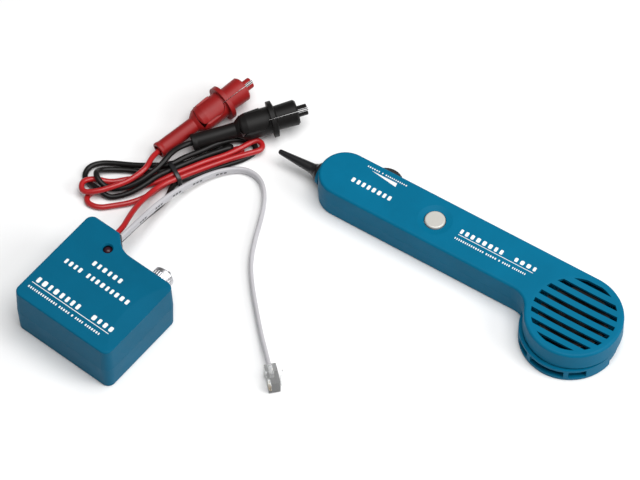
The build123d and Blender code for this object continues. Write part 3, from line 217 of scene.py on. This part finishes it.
board_green = surface("board_green", (0.012, 0.12, 0.045), 0.28, grain=500.0, bump=0.2,
                      variation=0.15)
chip_black = surface("chip_black", (0.018, 0.018, 0.018), 0.5, grain=1500.0, bump=0.25,
                     variation=0.2)
foam_grey = surface("foam_grey", (0.09, 0.09, 0.09), 0.9, grain=1600.0, bump=0.9, depth=0.0004,
                    variation=0.3)
paper_cone = surface("paper_cone", (0.006, 0.006, 0.007), 0.75, bump=0.5, depth=0.00015,
                     variation=0.25, specular=0.2)
magnet_grey = surface("magnet_grey", (0.10, 0.10, 0.11), 0.45, bump=0.3, variation=0.15,
                      metallic=0.6)
print_white = surface("print_white", (0.80, 0.81, 0.80), 0.55, grain=1800.0, bump=0.25,
                      variation=0.05, edge=0)
cable_ink = surface("cable_ink", (0.05, 0.05, 0.055), 0.5, grain=1200.0, bump=0.2, variation=0.4,
                    edge=0)
tie_black = surface("tie_black", MOULDED_BLACK, 0.34, bump=0.2, variation=0.25, edge=0)
battery_jacket = surface("battery_jacket", (0.02, 0.02, 0.024), 0.3, grain=700.0, bump=0.05,
                         variation=0.2, metallic=0.4, coat=0.4)

CLEAR_TINT = (0.99, 1.0, 1.0)
CLEAR_ROUGHNESS = (0.02, 0.10)
CLEAR_EDGE = 0.00025
CLEAR_TRANSMISSION = 0.80
CLEAR_IOR = 1.18


def clear_material(name):
    """Clear moulded plastic, a little uneven in tint and gloss."""
    material, tree, shader = new_material(name)
    fine = noise(tree, 700.0)
    tint = two_tone(tree, noise(tree, 120.0), shade(CLEAR_TINT, 0.97), CLEAR_TINT)
    tree.links.new(tint, shader.inputs["Base Color"])
    tree.links.new(span(tree, fine, *CLEAR_ROUGHNESS), shader.inputs["Roughness"])
    tree.links.new(rounded_normal(tree, CLEAR_EDGE), shader.inputs["Normal"])
    shader.inputs["Transmission Weight"].default_value = CLEAR_TRANSMISSION
    shader.inputs["IOR"].default_value = CLEAR_IOR
    return material


clear_plastic = clear_material("clear_plastic")

CAD_FINISHES = {
    "sender_upper_case": sender_plastic,
    "sender_lower_case": sender_plastic,
    "sender_battery_door": sender_plastic,
    "receiver_upper_shell": receiver_plastic,
    "receiver_lower_shell": receiver_plastic,
    "receiver_battery_door": receiver_plastic,
    "tip_collar": receiver_plastic,
    "probe_tip": tip_plastic,
    "volume_wheel": black_plastic,
    "volume_pot_body": black_plastic,
    "button_switch": black_plastic,
    "switch_body": black_plastic,
    "sender_battery": battery_jacket,
    "receiver_battery": battery_jacket,
    "sender_battery_snap": black_plastic,
    "receiver_battery_snap": black_plastic,
    "sender_battery_pad": foam_grey,
    "sender_circuit_board": board_green,
    "receiver_circuit_board": board_green,
    "sender_board_components": chip_black,
    "receiver_board_components": chip_black,
    "sender_status_led": led_red,
    "sender_case_screws": zinc_steel,
    "receiver_case_screws": zinc_steel,
    "switch_bushing": chrome,
    "switch_dress_nut": chrome,
    "switch_lever": lever_chrome,
    "push_button": satin_silver,
    "cable_grommet": grommet_rubber,
    "speaker_frame": black_plastic,
    "speaker_cone": paper_cone,
    "speaker_magnet": magnet_grey,
    "tip_contact": spring_steel,
    "line_plug_body": clear_plastic,
    "line_plug_latch": clear_plastic,
    "line_plug_contacts": gold,
    "red_clip_fixed_half": red_boot,
    "red_clip_lever": red_boot,
    "black_clip_fixed_half": black_boot,
    "black_clip_lever": black_boot,
}
for colour in ("red", "black"):
    for part in ("fixed_jaw", "moving_jaw"):
        CAD_FINISHES[f"{colour}_clip_{part}"] = jaw_steel
    CAD_FINISHES[f"{colour}_clip_pin"] = zinc_steel
    CAD_FINISHES[f"{colour}_clip_spring"] = spring_steel


def finish_with(obj, material):
    obj.data.materials.clear()
    obj.data.materials.append(material)


for name, material in CAD_FINISHES.items():
    finish_with(NODES[name], material)


# ------------------------------------------------------------------ the two clip leads
LEAD_DIAMETER = 3.2
LEAD_SMOOTHNESS = 10
LEAD_ROUNDNESS = 6
HANK_MIDDLE = (-125.1, 37.3)
HANK_TURN = math.radians(58.5)
# settling: rounds, samples in each run, and the share of an overlap that one round takes out
SETTLE_ROUNDS = 60
SETTLE_SAMPLES = 4
SETTLE_SHARE = 0.5
TINY = 1e-6
# samples of one lead that are this close in order are neighbours, so they may touch
SAME_STRETCH = 10
# control points at each end that stay where the case and the clip hold them
HELD_AT_CASE = 5
RED_HELD_AT_CLIP = 3
BLACK_HELD_AT_CLIP = 4


def at_tie(along, across, height):
    """A point in mm given along and across the hank from its tie."""
    return (
        HANK_MIDDLE[0] + along * math.cos(HANK_TURN) - across * math.sin(HANK_TURN),
        HANK_MIDDLE[1] + along * math.sin(HANK_TURN) + across * math.cos(HANK_TURN),
        height,
    )


RED_EXIT_RUN = [
    (-122.2, -26.0, 21.5),
    (-121.3, -17.8, 21.0),
    (-123.9, -8.7, 17.5),
    (-126.9, 3.3, 12.0),
    (-127.3, 15.3, 8.6),
    (-125.6, 26.3, 6.6),
]
RED_TURNS = [
    at_tie(0, -4.8, 5.6),
    at_tie(10, -4.6, 5.4),
    at_tie(20, -4.8, 5.2),
    at_tie(31, -5.0, 5.0),
    at_tie(42, -6.2, 4.8),
    at_tie(50.8, -7.2, 4.4),
    at_tie(53.2, -3.2, 4.4),
    at_tie(50.8, 0.8, 4.6),
    at_tie(42, -0.8, 5.0),
    at_tie(31, -1.6, 5.2),
    at_tie(20, -1.2, 5.4),
    at_tie(10, -1.4, 5.6),
    at_tie(0, -1.6, 5.6),
    # down under the black strands to the lower fold on the left
    at_tie(-9, -0.8, 4.4),
    at_tie(-18, 1.2, 2.4),
    at_tie(-27, 4.4, 1.7),
    at_tie(-35, 8.4, 1.7),
    (-153.4, 8.6, 1.7),
    (-158.6, 2.4, 1.7),
    (-155.8, -3.8, 1.7),
    (-148.2, -3.0, 1.7),
    (-142.1, 2.6, 1.8),
    (-135.2, 9.1, 1.9),
    (-130.0, 17.0, 2.2),
    at_tie(-10, -3.6, 2.3),
    at_tie(0, -1.6, 2.4),
    at_tie(10, -2.0, 2.0),
    at_tie(20, -2.2, 1.8),
    at_tie(31, -2.6, 1.7),
    at_tie(39.4, -3.2, 1.7),
    at_tie(42.2, 0.2, 1.7),
    at_tie(39.4, 3.6, 1.7),
    at_tie(31, 2.4, 1.7),
    at_tie(20, 1.2, 1.8),
    at_tie(10, 1.4, 2.0),
    at_tie(0, 1.6, 2.4),
    # the dim strand to the outer fold, then back over everything to the clip
    (-133.6, 31.4, 2.6),
    (-139.2, 26.4, 2.8),
    (-145.6, 20.6, 2.8),
    (-152.3, 14.1, 2.8),
    (-160.2, 10.6, 3.2),
    (-164.8, 4.6, 4.2),
    (-160.6, -1.4, 5.2),
    (-152.8, 3.6, 6.2),
    (-146.8, 10.6, 7.0),
    (-142.2, 17.2, 7.6),
]
RED_CLIP_TAIL = [
    (-139.6, 23.8, 8.4),
    (-138.2, 30.1, 8.8),
    (-139.8, 37.1, 8.2),
    (-139.9, 44.1, 6.6),
    (-137.5, 51.7, 7.3),
]
BLACK_EXIT_RUN = [
    (-120.0, -26.3, 17.0),
    (-119.1, -17.8, 16.5),
    (-119.6, -7.7, 13.0),
    (-119.7, 4.3, 8.5),
    (-119.0, 14.7, 5.2),
    (-119.4, 23.3, 3.6),
    (-121.6, 29.9, 2.8),
]
BLACK_TURNS = [
    at_tie(0, -4.8, 2.4),
    at_tie(10, -5.2, 2.0),
    at_tie(20, -5.4, 1.8),
    at_tie(31, -6.2, 1.7),
    at_tie(40, -6.8, 1.7),
    at_tie(48.0, -5.2, 1.7),
    at_tie(50.0, -0.6, 1.7),
    at_tie(47.0, 3.2, 1.7),
    at_tie(40.5, 4.4, 2.1),
    at_tie(31, 5.0, 5.4),
    at_tie(20, 6.2, 5.4),
    at_tie(10, 6.6, 5.6),
    at_tie(0, 4.8, 5.8),
    # the outer strand and fold on the left
    (-136.9, 36.0, 4.8),
    (-142.6, 32.8, 3.8),
    (-149.6, 29.6, 3.0),
    (-157.4, 26.4, 2.4),
    (-164.6, 22.4, 2.2),
    (-168.6, 16.6, 2.2),
    (-167.2, 10.4, 2.2),
    (-161.4, 8.0, 1.9),
    (-155.0, 6.4, 1.7),
    (-149.0, 6.0, 1.7),
    (-143.4, 8.6, 2.2),
    (-138.0, 14.8, 3.4),
    (-134.0, 22.4, 4.8),
    at_tie(-9, 0.6, 5.6),
    at_tie(0, 1.6, 5.7),
    at_tie(10, 2.4, 5.6),
    at_tie(20, 2.4, 5.4),
    at_tie(28, 1.6, 5.3),
    at_tie(35.0, 0.2, 5.4),
    at_tie(37.4, 3.4, 4.2),
    at_tie(35.0, 7.0, 2.0),
    at_tie(28, 5.4, 1.7),
    at_tie(20, 4.6, 1.8),
    at_tie(10, 4.6, 2.0),
    at_tie(0, 4.8, 2.4),
    # the inner strand and fold on the left
    (-136.4, 32.4, 2.2),
    (-142.6, 29.4, 2.0),
    (-149.6, 26.4, 2.0),
    (-156.4, 22.0, 2.4),
    (-161.6, 17.4, 3.4),
    (-161.0, 11.4, 4.4),
    (-155.2, 9.0, 4.4),
    (-148.8, 9.6, 4.0),
    (-142.4, 14.6, 4.6),
    (-137.2, 20.8, 6.0),
    (-134.4, 26.8, 7.6),
]
BLACK_CLIP_TAIL = [
    (-132.9, 32.4, 8.8),
    (-132.0, 38.5, 9.6),
    (-131.7, 45.3, 10.0),
    (-130.3, 52.1, 8.6),
    (-126.9, 58.3, 7.6),
    (-121.6, 64.3, 8.4),
]


def spline_weights(count, samples_per_run):
    """Weights that take a quadratic spline's control points to points along it."""
    knots = np.concatenate([[0, 0], np.arange(count - 1), [count - 2, count - 2]]).astype(float)
    places = np.linspace(0, count - 2, (count - 2) * samples_per_run + 1)
    weights = np.zeros((len(places), count))
    for row, place in enumerate(places):
        basis = np.zeros(count + 2)
        last = min(int(place), count - 3) + 2
        basis[last] = 1.0
        for order in (1, 2):
            for k in range(count + 2 - order):
                left = knots[k + order] - knots[k]
                right = knots[k + order + 1] - knots[k + 1]
                value = 0.0
                if left > 0:
                    value += (place - knots[k]) / left * basis[k]
                if right > 0:
                    value += (knots[k + order + 1] - place) / right * basis[k + 1]
                basis[k] = value
        weights[row] = basis[:count]
    return weights


def settle(strands, held, diameter):
    """Pushes the strands apart where they lie in each other, and keeps them on the table."""
    weights = [spline_weights(len(points), SETTLE_SAMPLES) for points in strands]
    owner = np.concatenate([np.full(len(w), index) for index, w in enumerate(weights)])
    order = np.concatenate([np.arange(len(w)) for w in weights])
    neighbours = np.abs(order[:, None] - order[None, :]) < SAME_STRETCH
    near = (owner[:, None] == owner[None, :]) & neighbours
    for _ in range(SETTLE_ROUNDS):
        line = np.concatenate([w @ points for w, points in zip(weights, strands)])
        gap = line[:, None, :] - line[None, :, :]
        distance = np.linalg.norm(gap, axis=2)
        touching = (distance < diameter) & ~near
        push = np.where(touching, (diameter - distance) / np.maximum(distance, TINY), 0.0)
        pushed_by = np.maximum(touching.sum(1), 1)[:, None]
        shift = (gap * push[:, :, None]).sum(1) / pushed_by * SETTLE_SHARE
        shift[:, 2] += np.maximum(diameter / 2 - (line[:, 2] + shift[:, 2]), 0.0)
        start = 0
        for index, w in enumerate(weights):
            part = shift[start:start + len(w)]
            start += len(w)
            move = (w.T @ part) / w.sum(0)[:, None]
            move[held[index]] = 0.0
            strands[index] = strands[index] + move
            strands[index][:, 2] = np.maximum(strands[index][:, 2], diameter / 2)
    return strands


def held_ends(points, first, last):
    """Marks the points at a strand's two ends that settling leaves where they are."""
    held = np.zeros(len(points), bool)
    held[:first] = True
    held[-last:] = True
    return held


def route_curve(name, points, smoothness):
    """One open NURBS spline of order 3 through a route in mm."""
    data = bpy.data.curves.new(name, "CURVE")
    data.dimensions = "3D"
    spline = data.splines.new("NURBS")
    spline.points.add(len(points) - 1)
    for point, place in zip(spline.points, points):
        point.co = (*[float(c) * MM for c in place], 1.0)
    spline.order_u = 3
    spline.use_endpoint_u = True
    spline.resolution_u = smoothness
    return data


def round_cord(name, points, material, body):
    """A round lead along its route."""
    data = route_curve(name, points, LEAD_SMOOTHNESS)
    data.bevel_depth = LEAD_DIAMETER * MM / 2
    data.bevel_resolution = LEAD_ROUNDNESS
    data.use_fill_caps = True
    obj = bpy.data.objects.new(name, data)
    bpy.context.scene.collection.objects.link(obj)
    data.materials.append(material)
    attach(obj, body)
    return obj


red_points = np.array(RED_EXIT_RUN + RED_TURNS + RED_CLIP_TAIL)
black_points = np.array(BLACK_EXIT_RUN + BLACK_TURNS + BLACK_CLIP_TAIL)
lead_ends = [held_ends(red_points, HELD_AT_CASE, RED_HELD_AT_CLIP),
             held_ends(black_points, HELD_AT_CASE, BLACK_HELD_AT_CLIP)]
red_points, black_points = settle([red_points, black_points], lead_ends, LEAD_DIAMETER)

red_cord = round_cord("red_test_lead", red_points, red_vinyl, "sender")
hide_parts("red_lead", "red_clip_lead", "lead_hank")
black_cord = round_cord("black_test_lead", black_points, black_vinyl, "sender")
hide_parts("black_lead", "black_clip_lead", "lead_hank")


# ------------------------------------------------------------------ mesh helpers
def mesh_object(name, bm, material, body=None, smooth=True):
    data = bpy.data.meshes.new(name)
    bmesh.ops.recalc_face_normals(bm, faces=bm.faces)
    bm.to_mesh(data)
    bm.free()
    for polygon in data.polygons:
        polygon.use_smooth = smooth
    obj = bpy.data.objects.new(name, data)
    bpy.context.scene.collection.objects.link(obj)
    data.materials.append(material)
    if body:
        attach(obj, body)
    return obj


def swept(bm, sections):
    """Skins a tube through rings of points; both ends are closed."""
    rings = [[bm.verts.new(point) for point in ring] for ring in sections]
    for before, after in zip(rings, rings[1:]):
        for k in range(len(before)):
            j = (k + 1) % len(before)
            bm.faces.new((before[k], before[j], after[j], after[k]))
    bm.faces.new(rings[0][::-1])
    bm.faces.new(rings[-1])


def slab(bm, low, high):
    """A thin solid between two rings of the same number of points."""
    low = [bm.verts.new(point) for point in low]
    high = [bm.verts.new(point) for point in high]
    bm.faces.new(high)
    bm.faces.new(low[::-1])
    for k in range(len(low)):
        j = (k + 1) % len(low)
        bm.faces.new((low[k], low[j], high[j], high[k]))


def route_line(points, smoothness):
    """Points along a route's NURBS spline, in metres."""
    data = route_curve("route", points, smoothness)
    obj = bpy.data.objects.new("route", data)
    mesh = bpy.data.meshes.new_from_object(obj)
    line = [v.co.copy() for v in mesh.vertices]
    bpy.data.meshes.remove(mesh)
    bpy.data.objects.remove(obj)
    bpy.data.curves.remove(data)
    return line


def heading(line, index):
    """The direction of a line of points at one of them."""
    return (line[min(index + 1, len(line) - 1)] - line[max(index - 1, 0)]).normalized()


# ------------------------------------------------------------------ line cable
LINE_CABLE_ROUTE = [
    (-118.0, -27.9, 23.0),
    (-117.1, -18.7, 22.0),
    (-117.3, -3.7, 17.5),
    (-117.1, 12.3, 12.5),
    (-114.5, 27.9, 8.2),
    (-110.3, 41.9, 5.0),
    (-103.3, 53.9, 3.4),
    (-94.3, 61.5, 2.7),
    (-84.5, 61.5, 2.7),
    (-76.9, 55.7, 2.7),
    (-71.5, 46.9, 2.7),
    (-67.5, 36.7, 2.7),
    (-63.3, 24.7, 2.7),
    (-57.5, 11.7, 2.7),
    (-48.3, -0.9, 2.7),
    (-37.9, -12.7, 2.7),
    (-27.3, -24.3, 2.7),
    (-18.5, -33.3, 3.7),
    (-9.3, -42.6, 4.8),
]
CABLE_HEIGHT = 0.0050
CABLE_THICKNESS = 0.0023
CABLE_SMOOTHNESS = 12
CABLE_GROOVES = 3
GROOVE_DEPTH = 0.00009
END_STEPS = 10
FACE_STEPS = 3 * END_STEPS

DASH_START = 0.020
DASH_GROUPS = 5
DASHES_PER_GROUP = 3
GROUP_STEP = 0.0155
DASH_STEP = 0.0024
DASH_LENGTH = 0.0016
DASH_HALF_WIDTH = 0.0006
DASH_LIFT = 0.00003
DASH_DEPTH = 0.00004


def cable_section():
    """Outline of a four-core flat cable: round ends and shallow grooves between the cores."""
    radius = CABLE_THICKNESS / 2
    flat = CABLE_HEIGHT / 2 - radius
    half = []
    for k in range(END_STEPS + 1):
        turn = math.pi * k / END_STEPS
        half.append((math.cos(turn) * radius, flat + math.sin(turn) * radius))
    for k in range(1, FACE_STEPS):
        share = k / FACE_STEPS
        groove = GROOVE_DEPTH * (1 - math.cos(2 * math.pi * share * CABLE_GROOVES)) / 2
        half.append((-radius + groove, flat - 2 * flat * share))
    return half + [(-x, -y) for x, y in half]


def level_axes(along):
    """The two directions square to a cord's own: level to its side, and up from it."""
    side = along.cross(Vector((0, 0, 1))).normalized()
    return side, side.cross(along).normalized()


def line_cable():
    line = route_line(LINE_CABLE_ROUTE, CABLE_SMOOTHNESS)
    outline = cable_section()
    sections = []
    for index, centre in enumerate(line):
        side, up = level_axes(heading(line, index))
        sections.append([centre + side * x + up * y for x, y in outline])
    bm = bmesh.new()
    swept(bm, sections)
    return mesh_object("flat_line_cable", bm, cable_grey, "sender"), line


def cable_dashes(line):
    """Faint ink dashes along the jacket's outer side."""
    bm = bmesh.new()
    walked = [0.0]
    for before, after in zip(line, line[1:]):
        walked.append(walked[-1] + (after - before).length)
    starts = [DASH_START + GROUP_STEP * group + DASH_STEP * dash
              for group in range(DASH_GROUPS) for dash in range(DASHES_PER_GROUP)]
    for start in starts:
        outer = []
        end = start + DASH_LENGTH
        for place, level in ((start, -1), (end, -1), (end, 1), (start, 1)):
            index = next(k for k, length in enumerate(walked) if length >= place)
            share = (place - walked[index - 1]) / (walked[index] - walked[index - 1])
            side, up = level_axes((line[index] - line[index - 1]).normalized())
            centre = line[index - 1].lerp(line[index], share)
            outer.append(centre + side * (CABLE_THICKNESS / 2 + DASH_LIFT)
                         + up * level * DASH_HALF_WIDTH)
        slab(bm, [corner - side * DASH_DEPTH for corner in outer], outer)
    obj = mesh_object("line_cable_ink_dashes", bm, cable_ink, "sender", smooth=False)


flat_cable, flat_cable_line = line_cable()
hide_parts("line_cable")
cable_dashes(flat_cable_line)


# ------------------------------------------------------------------ twisted tie round the hank's waist
TIE_HEIGHT = 0.00462
TIE_TURNS = 1.12
TIE_STEPS = 84
TIE_START = -0.75 * math.pi
TIE_LIFT = 0.0004
TIE_SLIDE = 0.0016
TIE_HALF_WIDTH = 0.0071
TIE_HALF_HEIGHT = 0.0037
TIE_SQUARENESS = 0.75
TIE_RIBBON = (0.0026, 0.0009)

TAIL_STEPS = 40
TAIL_TURNS = 1.7
TAIL_ROOT = Vector((0.0004, -0.0074, -0.0016))
TAIL_RUN = Vector((0.0, -0.0040, -0.0006))
TAIL_REACH = 0.0006
TAIL_SPREAD = 0.0003
TAIL_RIBBON = (0.0016, 0.0008)

RIBBON_SIDES = 16
RIBBON_SQUARENESS = (0.5, 0.7)


def squared(value, power):
    """Moves a sine or cosine towards one, which squares up a circle."""
    return math.copysign(abs(value) ** power, value)


def ribbon(name, centres, ups, size, material, body):
    """A flat ribbon with round edges; ups are the directions its flat side faces."""
    outline = []
    for k in range(RIBBON_SIDES):
        turn = 2 * math.pi * k / RIBBON_SIDES
        outline.append((squared(math.cos(turn), RIBBON_SQUARENESS[0]) * size[0] / 2,
                        squared(math.sin(turn), RIBBON_SQUARENESS[1]) * size[1] / 2))
    sections = []
    for index, centre in enumerate(centres):
        along = heading(centres, index)
        side = along.cross(ups[index]).normalized()
        up = side.cross(along)
        sections.append([centre + side * x + up * y for x, y in outline])
    bm = bmesh.new()
    swept(bm, sections)
    return mesh_object(name, bm, material, body)


def tie_loop(tie_frame):
    """The ribbon's turn and a bit round the bundle."""
    centres, ups = [], []
    for k in range(TIE_STEPS + 1):
        share = k / TIE_STEPS
        angle = TIE_START + 2 * math.pi * TIE_TURNS * share
        lift = TIE_LIFT * share
        across = squared(math.cos(angle), TIE_SQUARENESS) * (TIE_HALF_WIDTH + lift)
        height = squared(math.sin(angle), TIE_SQUARENESS) * (TIE_HALF_HEIGHT + lift)
        centres.append(tie_frame @ Vector((TIE_SLIDE * (share - 0.5), across, height)))
        facing = Vector((0, math.cos(angle) / TIE_HALF_WIDTH, math.sin(angle) / TIE_HALF_HEIGHT))
        ups.append(tie_frame.to_3x3() @ facing)
    return ribbon("hank_tie_loop", centres, ups, TIE_RIBBON, tie_black, "sender")


def tie_tail(tie_frame, index, phase):
    """One of the two ends, twisted round the other."""
    centres, ups = [], []
    for k in range(TAIL_STEPS + 1):
        share = k / TAIL_STEPS
        turn = phase + share * TAIL_TURNS * 2 * math.pi
        out = Vector((math.cos(turn), 0, math.sin(turn)))
        reach = TAIL_REACH + TAIL_SPREAD * share
        centres.append(tie_frame @ (TAIL_ROOT + TAIL_RUN * share + out * reach))
        ups.append(tie_frame.to_3x3() @ out)
    return ribbon(f"hank_tie_tail_{index}", centres, ups, TAIL_RIBBON, tie_black, "sender")


def hank_tie():
    """A plastic-coated wire tie: its loop, then its two tails twisted together."""
    tie_frame = Matrix.Translation((HANK_MIDDLE[0] * MM, HANK_MIDDLE[1] * MM, TIE_HEIGHT))
    tie_frame = tie_frame @ Matrix.Rotation(HANK_TURN, 4, "Z")
    loop = tie_loop(tie_frame)
    return [loop] + [tie_tail(tie_frame, index, math.pi * index) for index in range(2)]


tie_pieces = hank_tie()
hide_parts("hank_tie")


# ------------------------------------------------------------------ printed marks
SENDER_CORNER = (-0.1433, -0.0898, 0.0335)
SENDER_TURN = math.radians(-5.9)
SENDER_PLACE = Matrix.Translation(SENDER_CORNER) @ Matrix.Rotation(SENDER_TURN, 4, "Z")
RECEIVER_PLACE = Matrix.Translation((0.1142, 0.0660, 0.0220))
INK_THICKNESS = 0.00003
BLOCK_GAP = 0.85
GROUP_SPACE = 2.2
BLOCK_WIDTHS = (0.8, 1.2)
CORNER_CUT = 0.22
MARKS_SEED = 7

# each row: left, right, middle and height in mm on the face, then the blocks in each group
SENDER_ROWS = [
    (22.5, 42.4, 41.3, 3.1, [6]),
    (9.8, 54.0, 33.2, 3.1, [4, 9]),
    (6.0, 35.5, 14.8, 3.6, [8]),
    (44.5, 58.6, 14.8, 3.2, [4]),
    (4.9, 54.5, 8.6, 1.4, [14, 5, 1, 4, 7]),
]
SENDER_RULE = [(4.8, 11.55), (58.2, 11.55), (58.2, 11.95), (4.8, 11.95)]
RECEIVER_ROWS = [
    (-147.2, -122.1, 10.8, 3.0, [8]),
    (-144.4, -119.3, 22.9, 0.9, [6, 1, 11]),
    (-78.9, -52.2, 13.2, 3.0, [8]),
    (-44.7, -31.5, 13.3, 2.7, [4]),
    (-79.5, -35.0, 7.8, 1.2, [14, 5, 1, 4, 7]),
]
VOLUME_WEDGE = [(-141.0, 21.3), (-124.3, 19.0), (-124.7, 21.5)]
RECEIVER_RULE = [(-79.0, 10.5), (-31.9, 10.5), (-31.9, 10.85), (-79.0, 10.85)]

marks_random = random.Random(MARKS_SEED)


def flat_shape(bm, corners):
    """A thin raised shape of ink; corners in mm on the face, counterclockwise."""
    slab(bm, [(x * MM, y * MM, 0.0) for x, y in corners],
         [(x * MM, y * MM, INK_THICKNESS) for x, y in corners])


def block(bm, left, right, middle, height):
    """An oblong with cut corners."""
    cut = min(right - left, height) * CORNER_CUT
    low, high = middle - height / 2, middle + height / 2
    flat_shape(bm, [(left + cut, low), (right - cut, low), (right, low + cut), (right, high - cut),
                    (right - cut, high), (left + cut, high), (left, high - cut), (left, low + cut)])


def block_row(bm, left, right, middle, height, groups):
    """A row of upright blocks in groups, standing where a caption would be."""
    widths = [[marks_random.uniform(*BLOCK_WIDTHS) for _ in range(count)] for count in groups]
    units = (sum(sum(group) + BLOCK_GAP * (len(group) - 1) for group in widths)
             + GROUP_SPACE * (len(groups) - 1))
    unit = (right - left) / units
    place = left
    for group in widths:
        for width in group:
            block(bm, place, place + width * unit, middle, height)
            place += (width + BLOCK_GAP) * unit
        place += (GROUP_SPACE - BLOCK_GAP) * unit


def printed_marks(name, rows, shapes, face, body):
    """One instrument's print: rows of blocks and plain shapes on its top face."""
    bm = bmesh.new()
    for row in rows:
        block_row(bm, *row)
    for corners in shapes:
        flat_shape(bm, corners)
    obj = mesh_object(name, bm, print_white, body, smooth=False)
    obj.data.transform(face)
    return obj


sender_marks = printed_marks("sender_printed_marks", SENDER_ROWS, [SENDER_RULE], SENDER_PLACE,
                             "sender")
receiver_marks = printed_marks("receiver_printed_marks", RECEIVER_ROWS,
                               [VOLUME_WEDGE, RECEIVER_RULE], RECEIVER_PLACE, "receiver")


# ------------------------------------------------------------------ floor and light
FLOOR_SIZE = 6.0
FLOOR_TONES = ((0.86, 0.86, 0.86), (0.88, 0.88, 0.88))
FLOOR_ROUGHNESS = 0.7
WORLD_STRENGTH = 0.18
LIGHT_TARGET = (0.0, 0.03, 0.0)


def floor():
    """A pale, slightly uneven studio floor."""
    bm = bmesh.new()
    bmesh.ops.create_grid(bm, x_segments=1, y_segments=1, size=FLOOR_SIZE)
    material, tree, shader = new_material("studio_floor")
    tree.links.new(two_tone(tree, noise(tree, 3.0), *FLOOR_TONES), shader.inputs["Base Color"])
    shader.inputs["Roughness"].default_value = FLOOR_ROUGHNESS
    mesh_object("studio_floor", bm, material)


def area_light(name, place, size, power):
    data = bpy.data.lights.new(name, "AREA")
    data.shape = "DISK"
    data.size = size
    data.energy = power
    obj = bpy.data.objects.new(name, data)
    bpy.context.scene.collection.objects.link(obj)
    obj.location = place
    aim = Vector(LIGHT_TARGET) - Vector(place)
    obj.rotation_euler = aim.to_track_quat("-Z", "Y").to_euler()


floor()
world = bpy.data.worlds.new("studio")
bpy.context.scene.world = world
world.use_nodes = True
background = world.node_tree.nodes["Background"]
background.inputs["Color"].default_value = (1.0, 1.0, 1.0, 1.0)
background.inputs["Strength"].default_value = WORLD_STRENGTH
area_light("key", (0.35, 0.0, 1.8), 1.7, 37.0)
area_light("side", (1.2, 0.3, 0.9), 0.8, 10.0)
bpy.context.scene.view_settings.view_transform = "Standard"
